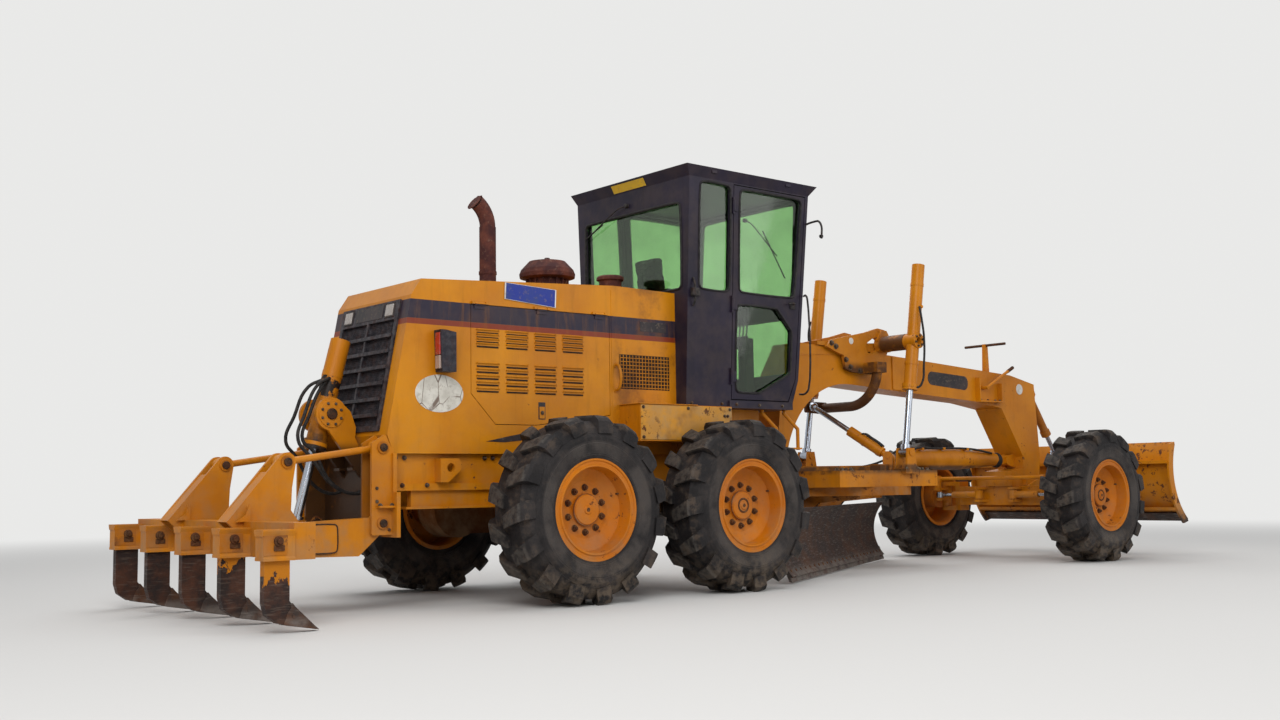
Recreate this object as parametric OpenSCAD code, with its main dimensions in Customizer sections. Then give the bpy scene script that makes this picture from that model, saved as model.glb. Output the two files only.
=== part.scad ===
/* [Wheels] */
// Radius of a tyre over its lugs
tyre_r = 675; // [640:1:700]
// Width of a tyre
tyre_w = 445; // [420:1:470]
// How far the lugs stand out of the tread
lug_h = 42; // [20:1:60]
// Lugs on each side of a tyre
lug_count = 15; // [12:1:18]
// Radius of the rim's flange
flange_r = 366; // [350:1:380]
// Radius of the bead seat
bead_r = 318; // [300:1:330]
// Radius of a wheel spindle
spindle_r = 60; // [45:1:70]
// Distance between the two tandem axles
tandem_base = 1551; // [1500:1:1600]
// Distance from the middle of the tandem to the front axle
wheelbase = 5898; // [5850:1:6000]
// Track of the tandem wheels
rear_track = 2128; // [2110:1:2200]
// Track of the front wheels
front_track = 2152; // [2140:1:2220]

/* [Rear frame and hood] */
// Bottom of the frame rails
rail_bottom = 850; // [850:1:880]
// Height of the frame rails
rail_h = 240; // [220:1:240]
// Thickness of a frame rail
rail_t = 110; // [80:1:130]
// Outer width over the frame rails
frame_w = 1000; // [960:1:1040]
// Width of the hood
hood_w = 1100; // [1060:1:1140]
// Sheet thickness of the hood
hood_t = 20; // [12:1:30]

/* [Cab] */
// Rear face of the cab
cab_rear = 1400; // [1390:1:1420]
// Outer width of the cab under its roof
cab_w = 1524; // [1460:1:1540]
// Outer width of the cab at its floor
cab_floor_w = 1340; // [1320:1:1400]
// Front of the cab at its floor
cab_foot = 2700; // [2660:1:2720]
// How far the cab's front leans forward up to the roof
cab_rake = 120; // [80:1:150]
// Bottom of the cab
cab_bottom = 1480; // [1470:1:1500]
// Underside of the roof
cab_top = 3385; // [3350:1:3400]
// Thickness of the cab's walls and doors
wall_t = 50; // [40:1:60]
// Thickness of the window panes
glass_t = 8; // [6:1:12]
// Thickness of the roof
roof_t = 90; // [80:1:120]

/* [Front frame] */
// Width of the front frame
beam_w = 340; // [320:1:360]
// Distance from the articulation pin to the front axle
hinge_gap = 4074; // [4050:1:4100]
// Radius of the articulation pin
hinge_r = 60; // [50:1:70]

/* [Blade] */
// Length of the moldboard
blade_l = 3660; // [3400:1:3680]
// Height of the moldboard
blade_h = 610; // [580:1:630]
// Thickness of the moldboard
blade_t = 22; // [18:1:26]
// Angle of the moldboard from square across, as parked
blade_turn = 62; // [55:1:65]
// Outer radius of the circle
circle_r = 700; // [660:1:720]
// Distance from the centre of the circle to the front axle
circle_gap = 2724; // [2700:1:2750]

/* [Ripper] */
// Spacing of the ripper shanks
shank_step = 635; // [600:1:640]
// Distance of each pair of ripper links from the middle
link_y = 500; // [480:1:510]
// Length of a ripper link between its pins, fore and aft
link_x = 704; // [690:1:720]
// How much lower a link's rear pin is
link_drop = 100; // [80:1:120]

/* [Dozer blade] */
// Width of the front blade
dozer_w = 2600; // [2400:1:2700]

/* [Fits] */
// Running clearance of pins and spindles, on the radius
fit = 0.05; // [0.02:0.01:0.1]
// Gap between seated pieces
gap = 0.3; // [0.2:0.1:0.5]
// Radius of the link pins
pin_r = 25; // [20:1:30]
// Running gap beside a moving piece
side_gap = 5; // [5:1:8]

/* [Hidden] */
$fn = 48;

// Fore and aft places are counted from the rear tandem axle.
mid_x = tandem_base;
front_x = tandem_base / 2 + wheelbase;
hinge_x = front_x - hinge_gap;
circle_x = front_x - circle_gap;
axle_z = tyre_r;
deck_z = rail_bottom + rail_h;
rail_rear = -1230;
hitch_x = 2150;
tow_x = -785;
tow_z = 990;
tow_r = 32;
tow_y = frame_w / 2 + 65;

// Ripper pins: front ones on the bracket, rear ones on the beam.
bracket_x = -1330;
upper_pin = [bracket_x, 1130];
lower_pin = [bracket_x, 610];
upper_rear = [bracket_x - link_x, upper_pin[1] - link_drop];
lower_rear = [bracket_x - link_x, lower_pin[1] - link_drop];
ripper_trunnion = [-1495, 0, 1380];
ripper_eye = [-1700, 0, 590];
pocket_l = 200;
beam_rear = lower_rear[0] - 296;
tail_x = beam_rear - pocket_l;

// Pins of the front half.
ball = [front_x + 16, 0, 1060];
lift_y = 640;
lift_trunnion = [front_x - 2299, lift_y, 2190];
lift_eye = [front_x - 2469, lift_y, 1120];
shift_top = [front_x - 2680, 330, 1600];
shift_eye = [front_x - 2420, -400, 1080];
king_y = front_track / 2 - 292;
tie_pin = [front_x - 250, king_y - 80, 870];
steer_pin = [front_x - 200, king_y - 60, 690];
steer_base = [front_x - 170, 220, 690];
dozer_pin = [front_x + 576, 0, 700];
dozer_top = [front_x + 506, 0, 1800];
dozer_eye = [front_x + 1006, 0, 1120];
nose_x = front_x + 1500;

shift = -(nose_x + tail_x) / 2;

module set_down() translate([shift, 0, 0]) children();

module both_sides() {
    children();
    mirror([0, 1, 0]) children();
}

// A plate or bar with its outline in the X-Z plane, w wide about y.
module slab(w, y = 0) translate([0, y + w / 2, 0]) rotate([90, 0, 0]) linear_extrude(w) children();

// An outline in the Y-Z plane, drawn out along X from a to b.
module lengthwise(a, b) translate([a, 0, 0]) rotate([90, 0, 90]) linear_extrude(b - a) children();

// A convex outline with rounded corners. The points run counter-clockwise.
function outward(a, b) = [b[1] - a[1], a[0] - b[0]] / norm(b - a);
function corner(a, b, c, r) = b - (outward(a, b) + outward(b, c)) * r / (1 + outward(a, b) * outward(b, c));
module rounded(points, r) {
    n = len(points);
    function before(i) = points[(i + n - 1) % n];
    function after(i) = points[(i + 1) % n];
    polygon([for (i = [0:n - 1]) let(b = points[i], m = corner(before(i), b, after(i),
        r)) each [m + outward(before(i), b) * r, m + outward(b, after(i)) * r]]);
    for (i = [0:n - 1]) translate(corner(before(i), points[i], after(i), r)) circle(r = r, $fn = 32);
}

// A round tube through a row of points, with a ball at each bend.
module tube(points, r) {
    for (i = [0:len(points) - 2]) along(points[i], points[i + 1])
        cylinder(r = r, h = norm(points[i + 1] - points[i]), $fn = 24);
    for (i = [1:1:len(points) - 2]) translate(points[i]) sphere(r = r, $fn = 24);
}

// A round bar along Y, w long, about the point p.
module cross_bar(r, w, p) translate(p) rotate([90, 0, 0]) cylinder(r = r, h = w, center = true);

// Stands children at a, with their Z axis pointing at b.
module along(a, b) {
    d = b - a;
    translate(a) rotate([0, acos(d[2] / norm(d)), atan2(d[1], d[0])]) children();
}

// Plan outlines are drawn flat, side outlines as [x, z].
module box(low, high) translate(low) cube(high - low);

// A cylinder barrel: an eye at the foot, open at the top for its rod.
module barrel(l, r, rod_r, eye_r, eye_w, bottom) difference() {
    union() {
        cross_bar(eye_r, eye_w, [0, 0, 0]);
        cylinder(r = eye_r * 0.7, h = bottom);
        translate([0, 0, bottom - 10]) cylinder(r = r, h = l - bottom + 10);
        translate([0, 0, l - 60]) cylinder(r = r + 10, h = 60);
    }
    cross_bar(pin_r + fit, eye_w + 2, [0, 0, 0]);
    translate([0, 0, bottom + 20]) cylinder(r = rod_r + fit, h = l);
}

// A cylinder rod: an eye at the foot, filled by its pin, and the bar that runs into the barrel.
module rod(l, r, eye_r, eye_w) {
    cross_bar(eye_r, eye_w, [0, 0, 0]);
    cylinder(r = r, h = l);
    cylinder(r = r + 14, h = eye_r + 25);
}

// Wheels: local Y points outboard, the middle of the tyre is at the origin.
tread_r = tyre_r - lug_h;
tyre_side = [[bead_r, 172], [bead_r + 14, 187.5], [flange_r + 0.5, 187.5], [flange_r + 1, 204],
    [bead_r + 150, tyre_w / 2], [bead_r + 200, tyre_w / 2], [tread_r - 50, tyre_w / 2 - 26],
    [tread_r, tyre_w / 2 - 75]];
lug_plan = [[-46, 6], [42, 6], [80, 80], [146, tyre_w / 2 + 5], [14, tyre_w / 2 + 5], [-20, 96]];

module tyre() {
    rotate([-90, 0, 0]) rotate_extrude($fn = 24) polygon(concat(tyre_side,
        [for (i = [len(tyre_side) - 1:-1:0]) [tyre_side[i][0], -tyre_side[i][1]]]));
    for (i = [0:lug_count - 1]) {
        turn = i * 360 / lug_count;
        rotate([0, turn, 0]) lug();
        rotate([0, turn + 180 / lug_count, 0]) mirror([0, 1, 0]) lug();
    }
}

module lug() intersection() {
    translate([0, 0, tread_r - 90]) linear_extrude(lug_h + 100) polygon(lug_plan);
    rotate([-90, 0, 0]) rotate_extrude($fn = 24) polygon([[0, 0], [tyre_r, 0], [tyre_r, tyre_w / 2 - 42],
        [tyre_r - 38, tyre_w / 2 - 6], [tyre_r - 120, tyre_w / 2], [0, tyre_w / 2]]);
}

module rim() difference() {
    rotate([-90, 0, 0]) rotate_extrude() polygon([[0, -186], [130, -186], [130, 20], [150, 40], [215, 40],
        [bead_r - 22, 82], [bead_r - 22, -160], [bead_r - 12, -200], [flange_r - 30, -200],
        [flange_r - 30, -188], [bead_r + 14, -188], [bead_r - gap, -172], [bead_r - gap, 172],
        [bead_r + 14, 188], [flange_r, 188], [flange_r, 201], [flange_r - 14, 201], [flange_r - 20, 192],
        [bead_r + 8, 192], [bead_r + 2, 202], [bead_r - 10, 202], [bead_r - 26, 96], [232, 66], [206, 58],
        [118, 58], [112, 82], [104, 92], [34, 96], [28, 104], [0, 104]]);
    translate([0, -200, 0]) rotate([-90, 0, 0]) cylinder(r = spindle_r + fit, h = 260);
}

module wheel_place(x, track, side) set_down() translate([x, side * track / 2, axle_z])
    mirror([0, side < 0 ? 1 : 0, 0]) children();

// The chassis from the rear plate to the articulation pin, and the cab's pedestal.
module rear_frame() color("orange") set_down() {
    both_sides() box([rail_rear, frame_w / 2 - rail_t, rail_bottom], [hitch_x, frame_w / 2, deck_z]);
    for (x = [rail_rear, -700, 150, 1250, hitch_x - 160])
        box([x, -frame_w / 2 + rail_t - 1, rail_bottom + 60], [x + 160, frame_w / 2 - rail_t + 1, deck_z]);
    both_sides() {
        box([rail_rear, frame_w / 2 - 1, rail_bottom - 20], [400, frame_w / 2 + 25, rail_bottom + 30]);
        box([rail_rear, frame_w / 2 - rail_t, rail_bottom - 20], [400, frame_w / 2, rail_bottom + 1]);
        box([-1060, frame_w / 2 - 60, 700], [-240, frame_w / 2 - 6, rail_bottom - 19]);
        box([-1110, frame_w / 2 - 80, 700], [-240, frame_w / 2 + 20, 716]);
    }
    both_sides() {
        box([tow_x - 85, frame_w / 2 - 1, 885], [tow_x - 55, tow_y + 20, 1055]);
        difference() {
            slab(40, tow_y) polygon([[tow_x - 85, 885], [tow_x - 85, 1055], [tow_x + 65, 1055],
                [tow_x + 85, 1030], [tow_x + 85, 975], [tow_x - 20, 885]]);
            cross_bar(tow_r, 60, [tow_x, tow_y, tow_z]);
        }
    }
    box([1450, -frame_w / 2, deck_z - 1], [2400, frame_w / 2, cab_bottom - gap]);
    box([hitch_x - 160, -260, rail_bottom], [hitch_x + 180, 260, 1400]);
    for (z = [860, 1320]) translate([0, 0, z]) linear_extrude(60) {
        translate([hinge_x, 0]) circle(r = 150);
        polygon([[hitch_x, -260], [hitch_x, 260], [hinge_x, 150], [hinge_x, -150]]);
    }
    translate([hinge_x, 0, 850]) cylinder(r = hinge_r, h = 550);
}

// Both tandem cases, the axle housing between them and the wheel spindles.
case_in = 560;
case_out = rear_track / 2 - 244;
module tandem_cases() color("orange") set_down() {
    cross_bar(165, 2 * case_in + 40, [mid_x / 2, 0, axle_z]);
    both_sides() {
        slab(case_out - case_in, (case_out + case_in) / 2) {
            translate([0, axle_z]) circle(r = 230);
            translate([mid_x, axle_z]) circle(r = 230);
            translate([0, axle_z - 200]) square([mid_x, 400]);
        }
        box([mid_x / 2 - 220, frame_w / 2 - rail_t, axle_z + 40], [mid_x / 2 + 220, frame_w / 2,
            rail_bottom - gap]);
        for (x = [0, mid_x]) translate([x, case_out - 1, axle_z]) rotate([-90, 0, 0]) {
            cylinder(r = 110, h = 50);
            cylinder(r = spindle_r, h = 296);
        }
    }
}

module engine() color("dimgray") set_down() box([-900, -330, deck_z + gap], [620, 330, 1950]);

// The hood: side outline, its inside, and the sloping rear that holds the grille.
slope_low = [-1280, 1220];
slope_high = [-1090, 2220];
slope = atan2(slope_high[0] - slope_low[0], slope_high[1] - slope_low[1]);
hood_front = cab_rear - gap;
hood_side = [[rail_rear, deck_z + gap], slope_low, slope_high, [-1010, 2340], [760, 2435],
    [hood_front, 2425], [hood_front, deck_z + gap]];
hood_inside = [[rail_rear + hood_t, deck_z - 1], [slope_low[0] + hood_t + 4, slope_low[1]],
    [slope_high[0] + hood_t + 4, slope_high[1] - 8], [-1000, 2340 - hood_t], [760, 2435 - hood_t],
    [hood_front - hood_t, 2425 - hood_t], [hood_front - hood_t, deck_z - 1]];
door_side = [[-590, 2185], [-590, 1530], [-380, 1310], [-10, 1310], [700, 1400], [700, 2185]];
door_hole = [[-595, 2190], [-595, 1528], [-382, 1305], [-9, 1305], [705, 1395], [705, 2190]];
lid_y = hood_w / 2 + 10;
lid_z = 2194;
grille_low = 30;
grille_high = 992;
lamp_low = 862;
grille_w = 860;

module on_slope() translate([slope_low[0], 0, slope_low[1]]) rotate([0, slope, 0]) children();

module hood() color("orange") set_down() {
    difference() {
        slab(hood_w) polygon(hood_side);
        slab(hood_w - 2 * hood_t) polygon(hood_inside);
        slab(hood_w + 10) polygon(door_hole);
        on_slope() box([-60, -grille_w / 2, grille_low], [200, grille_w / 2, grille_high]);
        for (i = [0:7]) for (side = [-1, 1]) translate([810 + i * 66, side * hood_w / 2,
            1620]) translate([0, -30, 0]) cube([46, 60, 260]);
    }
    translate([500, 0, 2405]) cylinder(r = 165, h = 27);
    translate([-80, 0, 2380]) cylinder(r = 85, h = 16);
    both_sides() for (x = [-520, 40, 600]) {
        for (e = [-70, 50]) box([x + e, hood_w / 2 - 1, lid_z - 6], [x + e + 20, lid_y + 8, lid_z + 14]);
        translate([x - 60, lid_y, lid_z]) rotate([0, 90, 0]) cylinder(r = 5, h = 120);
    }
}

// A louvred side door, hinged along its top edge.
module hood_door() {
    difference() {
        slab(hood_t, -hood_w / 2 + hood_t / 2) polygon(door_side);
        for (c = [0:3]) for (z = [1547, 1594, 1641, 1688, 1732, 1877, 1911, 1945,
            1979]) translate([-543 + c * 262, -hood_w / 2 - 5, z]) cube([190, 60, 12]);
    }
    for (x = [-520, 40, 600]) difference() {
        union() {
            translate([x - 45, -lid_y, lid_z]) rotate([0, 90, 0]) cylinder(r = 9, h = 90);
            box([x - 45, -hood_w / 2 - 6, lid_z - 40], [x + 45, -hood_w / 2 + 1, lid_z - 6]);
            box([x - 45, -lid_y - 4, lid_z - 14], [x + 45, -hood_w / 2 - 2, lid_z - 6]);
        }
        translate([x - 60, -lid_y, lid_z]) rotate([0, 90, 0]) cylinder(r = 5 + fit, h = 120);
    }
}

module hood_door_right() color("orange") set_down() hood_door();
module hood_door_left() color("orange") set_down() mirror([0, 1, 0]) hood_door();

// The radiator grille: a frame with bars across, and two lamps above it.
module grille() color("black") set_down() on_slope() {
    inner = grille_w / 2 - 40;
    difference() {
        box([-14, -grille_w / 2 + gap, grille_low + gap], [30, grille_w / 2 - gap, grille_high - gap]);
        box([-20, -inner, grille_low + 40], [40, inner, lamp_low - 14]);
        both_sides() box([-20, inner - 150, lamp_low + 4], [4, inner - 14, grille_high - 14]);
    }
    for (i = [1:6]) box([-22, -inner - 1, grille_low + i * 117 - 13],
        [14, inner + 1, grille_low + i * 117 + 13]);
    box([-14, -13, grille_low + 39], [16, 13, lamp_low - 13]);
    box([18, -inner - 1, grille_low + 39], [26, inner + 1, lamp_low - 13]);
}

module tail_lamps() color("darkred") set_down() both_sides() difference() {
    slab(95, hood_w / 2 + gap + 47.5) polygon([[-892, 1672], [-775, 1672], [-775, 1958], [-860, 1972],
        [-905, 1972]]);
    box([-910, hood_w / 2 + 14, 1690], [-884, hood_w / 2 + 82, 1958]);
}

module exhaust() color("saddlebrown") set_down() {
    translate([-80, 0, 2396 + gap]) cylinder(r = 66, h = 504);
    translate([-80, 0, 2900]) translate([-230, 0, 0]) rotate([90, 0, 0])
        rotate_extrude(angle = 55) translate([230, 0]) circle(r = 62);
}

module precleaner() color("saddlebrown") set_down() translate([500, 0, 2432 + gap]) rotate_extrude()
    polygon([[0, 0], [154, 0], [154, 95], [225, 110], [229, 140], [215, 175], [150, 245], [60, 262],
    [0, 262]]);

// The cab: places in it are shares of its height and of its length at the floor.
function cab_z(f) = cab_bottom + f * (cab_top - cab_bottom);
function cab_x(f) = cab_rear + f * (cab_foot - cab_rear);
function cab_front(z) = cab_foot + (z - cab_bottom) / (cab_top - cab_bottom) * cab_rake;
function cab_y(z) = (cab_floor_w + (z - cab_bottom) / (cab_top - cab_bottom) * (cab_w - cab_floor_w)) / 2;
cab_head = cab_foot + cab_rake;
cut_x = cab_foot - 70;
cut_z = cab_z(0.14);
cab_side = [[cab_rear, cab_bottom], [cut_x, cab_bottom], [cab_front(cut_z), cut_z], [cab_head, cab_top],
    [cab_rear, cab_top]];
cab_in = [[cab_rear + wall_t, cab_bottom + wall_t], [cut_x - 20, cab_bottom + wall_t],
    [cab_front(cut_z) - wall_t, cut_z], [cab_head - wall_t + 1, cab_top + 10],
    [cab_rear + wall_t, cab_top + 10]];
door_rear = cab_x(0.394);
door_low = cab_z(0.04);
door_high = cab_z(0.991);
door_gap = 8;
door_lip = 42;
function door_side(g) = [[door_rear - g, door_low - g], [cut_x - 40 + g, door_low - g],
    [cab_front(cut_z) - door_lip + g, cut_z], [cab_front(door_high) - door_lip + g, door_high + g],
    [door_rear - g, door_high + g]];
window_r = 45;
window_high = [[door_rear + 70, cab_z(0.517)], [cab_front(cab_z(0.517)) - 112, cab_z(0.517)],
    [cab_front(cab_z(0.976)) - 84, cab_z(0.976)], [door_rear + 70, cab_z(0.976)]];
window_low = [[door_rear + 46, cab_z(0.071)], [cab_x(0.64), cab_z(0.071)],
    [cab_front(cut_z) - 102, cab_z(0.168)], [cab_front(cut_z) - 90, cab_z(0.362)],
    [cab_x(0.8), cab_z(0.459)], [door_rear + 46, cab_z(0.459)]];
side_window = [[cab_x(0.094), cab_z(0.514)], [cab_x(0.36), cab_z(0.514)], [cab_x(0.36), cab_z(0.984)],
    [cab_x(0.094), cab_z(0.984)]];
rear_low = cab_z(0.512);
rear_high = cab_z(0.892);
rear_y = cab_y(rear_low) - 76;
rear_window = [[-rear_y, rear_low], [rear_y, rear_low], [rear_y, rear_high], [-rear_y, rear_high]];
// The two panes of the windscreen: shares of the cab's height at their low and high edges.
screens = [[0.514, 0.976], [0.17, 0.43]];
screen_y = cab_y(cab_z(0.17)) - 76;
function screen(f) = [[-screen_y, cab_z(f[0])], [screen_y, cab_z(f[0])], [screen_y, cab_z(f[1])],
    [-screen_y, cab_z(f[1])]];
hinge_out = 14;
hinge_shares = [0.14, 0.46, 0.9];
cab_tilt = atan2((cab_w - cab_floor_w) / 2, cab_top - cab_bottom);
door_axis_x = door_rear - hinge_out;
door_axis_y = cab_floor_w / 2 + hinge_out;

// The cab's cross section, with its walls moved in by i.
function cab_section(i, over) = [[-cab_y(cab_bottom) + i, cab_bottom], [cab_y(cab_bottom) - i, cab_bottom],
    [cab_y(cab_top + over) - i, cab_top + over], [-cab_y(cab_top + over) + i, cab_top + over]];
// A leaning sheet of the right-hand wall, from a to b inside its outer face.
module wall_sheet(a, b) lengthwise(cab_rear, cab_head + 50) polygon([[-cab_y(cab_bottom) + a, cab_bottom],
    [-cab_y(cab_bottom) + b, cab_bottom], [-cab_y(cab_top) + b, cab_top], [-cab_y(cab_top) + a, cab_top]]);
module on_hinge() translate([door_axis_x, -door_axis_y, cab_bottom]) rotate([cab_tilt, 0, 0]) children();
module window(points) slab(2 * cab_w) rounded(points, window_r);

module cab_shell() color("midnightblue") set_down() {
    difference() {
        intersection() {
            slab(2 * cab_w) polygon(cab_side);
            lengthwise(cab_rear - 1, cab_head + 1) polygon(cab_section(0, 0));
        }
        intersection() {
            slab(2 * cab_w) polygon(cab_in);
            lengthwise(cab_rear, cab_head) polygon(cab_section(wall_t, 10));
        }
        slab(2 * cab_w) polygon(door_side(door_gap));
        window(side_window);
        lengthwise(cab_rear - 10, cab_rear + wall_t + 10) rounded(rear_window, window_r);
        for (f = screens) lengthwise(cab_foot - 100, cab_head + 50) rounded(screen(f), window_r);
    }
    both_sides() {
        box([door_rear - 40, cab_floor_w / 2 - 30, cab_bottom], [cut_x, cab_floor_w / 2 + 22,
            cab_z(0.032)]);
        mirror([0, 1, 0]) on_hinge() for (f = hinge_shares) translate([0, 0, f * (cab_top - cab_bottom)]) {
            for (e = [-70, 50]) box([-14, -8, e], [5, hinge_out + 1, e + 20]);
            translate([0, 0, -60]) cylinder(r = 7, h = 120);
        }
    }
}

// The roof flares out from the walls to its top edge.
module cab_roof() color("midnightblue") set_down() intersection() {
    slab(2 * cab_w) polygon([[cab_rear, cab_top + gap], [cab_head, cab_top + gap],
        [cab_head + 82, cab_top + roof_t], [cab_rear - 52, cab_top + roof_t]]);
    lengthwise(cab_rear - 100, cab_head + 200) polygon([[-cab_w / 2, cab_top], [cab_w / 2, cab_top],
        [cab_w / 2 + 33, cab_top + roof_t], [-cab_w / 2 - 33, cab_top + roof_t]]);
}

glass_in = wall_t / 2;
module cab_glass() color("green") set_down() {
    both_sides() mirror([0, 1, 0]) intersection() {
        window(side_window);
        wall_sheet(glass_in, glass_in + glass_t);
    }
    lengthwise(cab_rear + 20, cab_rear + 20 + glass_t) rounded(rear_window, window_r);
    for (f = screens) intersection() {
        lengthwise(cab_foot - 100, cab_head + 50) rounded(screen(f), window_r);
        slab(2 * cab_w) polygon([[cab_foot - 30, cab_bottom], [cab_foot - 30 + glass_t, cab_bottom],
            [cab_head - 30 + glass_t, cab_top], [cab_head - 30, cab_top]]);
    }
}

// A cab door with two windows, hinged along its rear edge.
module cab_door() {
    difference() {
        intersection() {
            slab(2 * cab_w) polygon(door_side(0));
            wall_sheet(0, wall_t);
        }
        window(window_high);
        window(window_low);
    }
    on_hinge() for (f = hinge_shares) translate([0, 0, f * (cab_top - cab_bottom) - 45]) difference() {
        union() {
            cylinder(r = 12, h = 90);
            box([8, 2, 0], [54, hinge_out + 1, 90]);
        }
        translate([0, 0, -1]) cylinder(r = 7 + fit, h = 92);
    }
}

module cab_door_right() color("midnightblue") set_down() cab_door();
module cab_door_left() color("midnightblue") set_down() mirror([0, 1, 0]) cab_door();

seat_x = cab_x(0.2);
module seat() color("dimgray") set_down() {
    box([seat_x + 60, -130, cab_bottom + wall_t + gap], [seat_x + 340, 130, cab_bottom + 370]);
    box([seat_x, -250, cab_bottom + 369], [seat_x + 460, 250, cab_bottom + 500]);
    translate([seat_x - 10, 0, cab_bottom + 480]) rotate([0, -8, 0]) slab(480) rounded([[0, 0], [120, 0],
        [120, 600], [0, 600]], 50);
    translate([seat_x - 88, 0, cab_bottom + 1060]) rotate([0, -8, 0]) slab(300)
        rounded([[0, -40], [110, -40], [110, 270], [0, 270]], 45);
}

module controls() color("black") set_down() {
    post = cab_foot - 330;
    box([post - 50, -190, cab_bottom + wall_t + gap], [post + 60, 190, cab_bottom + 670]);
    translate([post - 30, 0, cab_bottom + 620]) rotate([0, -25, 0]) {
        cylinder(r = 40, h = 300);
        translate([0, 0, 290]) difference() {
            cylinder(r = 215, h = 26);
            translate([0, 0, -1]) cylinder(r = 190, h = 28);
        }
        translate([-200, -14, 292]) cube([400, 28, 20]);
    }
    both_sides() {
        box([post - 40, 189, cab_bottom + 560], [post + 50, 430, cab_bottom + 640]);
        box([post - 40, 330, cab_bottom + wall_t + gap], [post + 50, 430, cab_bottom + 561]);
        for (i = [0:4]) translate([post, 215 + i * 44, cab_bottom + 630]) rotate([0, 8, 0]) {
            cylinder(r = 7, h = 300, $fn = 16);
            translate([0, 0, 300]) sphere(r = 20, $fn = 16);
        }
    }
}

// Fender boxes, step rails and grab rails.
module steps() color("orange") set_down() both_sides() {
    box([800, hood_w / 2 + gap, 1190], [1790, 800, cab_bottom - gap]);
    box([cab_rear + gap, frame_w / 2 + gap, 1180], [1790, hood_w / 2 + 1, cab_bottom - gap]);
    for (x = [0, 270]) tube([[2340 + x, 600, cab_bottom - gap], [2340 + x, 600, 1452],
        [2510 + x, 600, 1320], [2510 + x, 600, 1135]], 16);
    box([2510, 550, 1140], [2780, 650, 1154]);
}

// Each link turns between two clevis plates, a running gap off its sides.
clevis_t = 24;
clevis_y = 50 + side_gap + clevis_t / 2;

// The bracket behind the frame: clevis plates for the links and the cylinder's trunnion.
bracket_back = rail_rear - gap;
module ripper_bracket() color("orange") set_down() {
    box([bracket_back - 30, -600, 560], [bracket_back, 600, deck_z]);
    box([bracket_back - 30, -650, 512], [bracket_back, 650, 822]);
    both_sides() {
        for (y = [link_y - clevis_y, link_y + clevis_y]) slab(clevis_t, y)
            rounded([[bracket_back - 12, 530], [bracket_back - 12, 1090], [bracket_x + 20, 1222],
            [bracket_x - 84, 1160], [bracket_x - 84, 530]], 12);
        for (p = [upper_pin, lower_pin]) cross_bar(pin_r, 2 * clevis_y + 50, [p[0], link_y, p[1]]);
        box([bracket_x - 50, link_y + clevis_y, 716], [bracket_back - 20, link_y + clevis_y + 60, 730]);
        slab(30, 125) {
            translate([ripper_trunnion[0], ripper_trunnion[2]]) circle(r = 118);
            polygon([[bracket_back - 10, 900], [bracket_back - 12, 1078], [-1308, 1212], [-1304, 1290],
                [-1346, 1400], [-1430, 1474], [-1530, 1280]]);
        }
        translate([ripper_trunnion[0], 45, ripper_trunnion[2]]) rotate([-90, 0, 0])
            cylinder(r = 34, h = 110);
        box([-1330, 60, 980], [bracket_back - 10, 141, 1000]);
    }
}

// Lower links: two arms, a tube between them and ears for the cylinder.
module ripper_arms() color("orange") set_down() difference() {
    union() {
        both_sides() {
            slab(100, link_y) {
                translate(lower_pin) circle(r = 58);
                translate(lower_rear) circle(r = 62);
                polygon([[lower_rear[0], lower_rear[1] - 62], [lower_rear[0] + 90, 400],
                    [lower_rear[0] + 540, 392], [lower_pin[0] + 30, lower_pin[1] - 48],
                    [lower_pin[0] + 40, lower_pin[1] + 40], [lower_pin[0] - 70, 650],
                    [lower_rear[0] + 80, 628], [lower_rear[0], lower_rear[1] + 62]]);
            }
            slab(16, link_y + 50 + 6) rounded([[lower_rear[0] + 160, 425], [lower_rear[0] + 372, 425],
                [lower_rear[0] + 372, 612], [lower_rear[0] + 160, 612]], 25);
        }
        cross_bar(45, 2 * link_y, [ripper_eye[0], 0, ripper_eye[2] - 125]);
        both_sides() {
            slab(24, 45 + side_gap + 12) polygon([[ripper_eye[0] - 45, ripper_eye[2] - 125],
                [ripper_eye[0] + 45, ripper_eye[2] - 125], [ripper_eye[0] + 50, ripper_eye[2] + 45],
                [ripper_eye[0] - 50, ripper_eye[2] + 45]]);
            translate([ripper_eye[0], 45 + side_gap + 23, ripper_eye[2]]) rotate([-90, 0, 0])
                cylinder(r = pin_r + 8, h = 14);
        }
    }
    for (p = [lower_pin, lower_rear]) both_sides() cross_bar(pin_r + fit, 110, [p[0], link_y, p[1]]);
}

module ripper_links() color("orange") set_down() both_sides() difference() {
    union() {
        for (p = [upper_pin, upper_rear]) cross_bar(52, 100, [p[0], link_y, p[1]]);
        along([upper_pin[0], link_y, upper_pin[1]], [upper_rear[0], link_y, upper_rear[1]])
            cylinder(r = 24, h = norm([link_x, link_drop]));
    }
    for (p = [upper_pin, upper_rear]) cross_bar(pin_r + fit, 110, [p[0], link_y, p[1]]);
}

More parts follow.
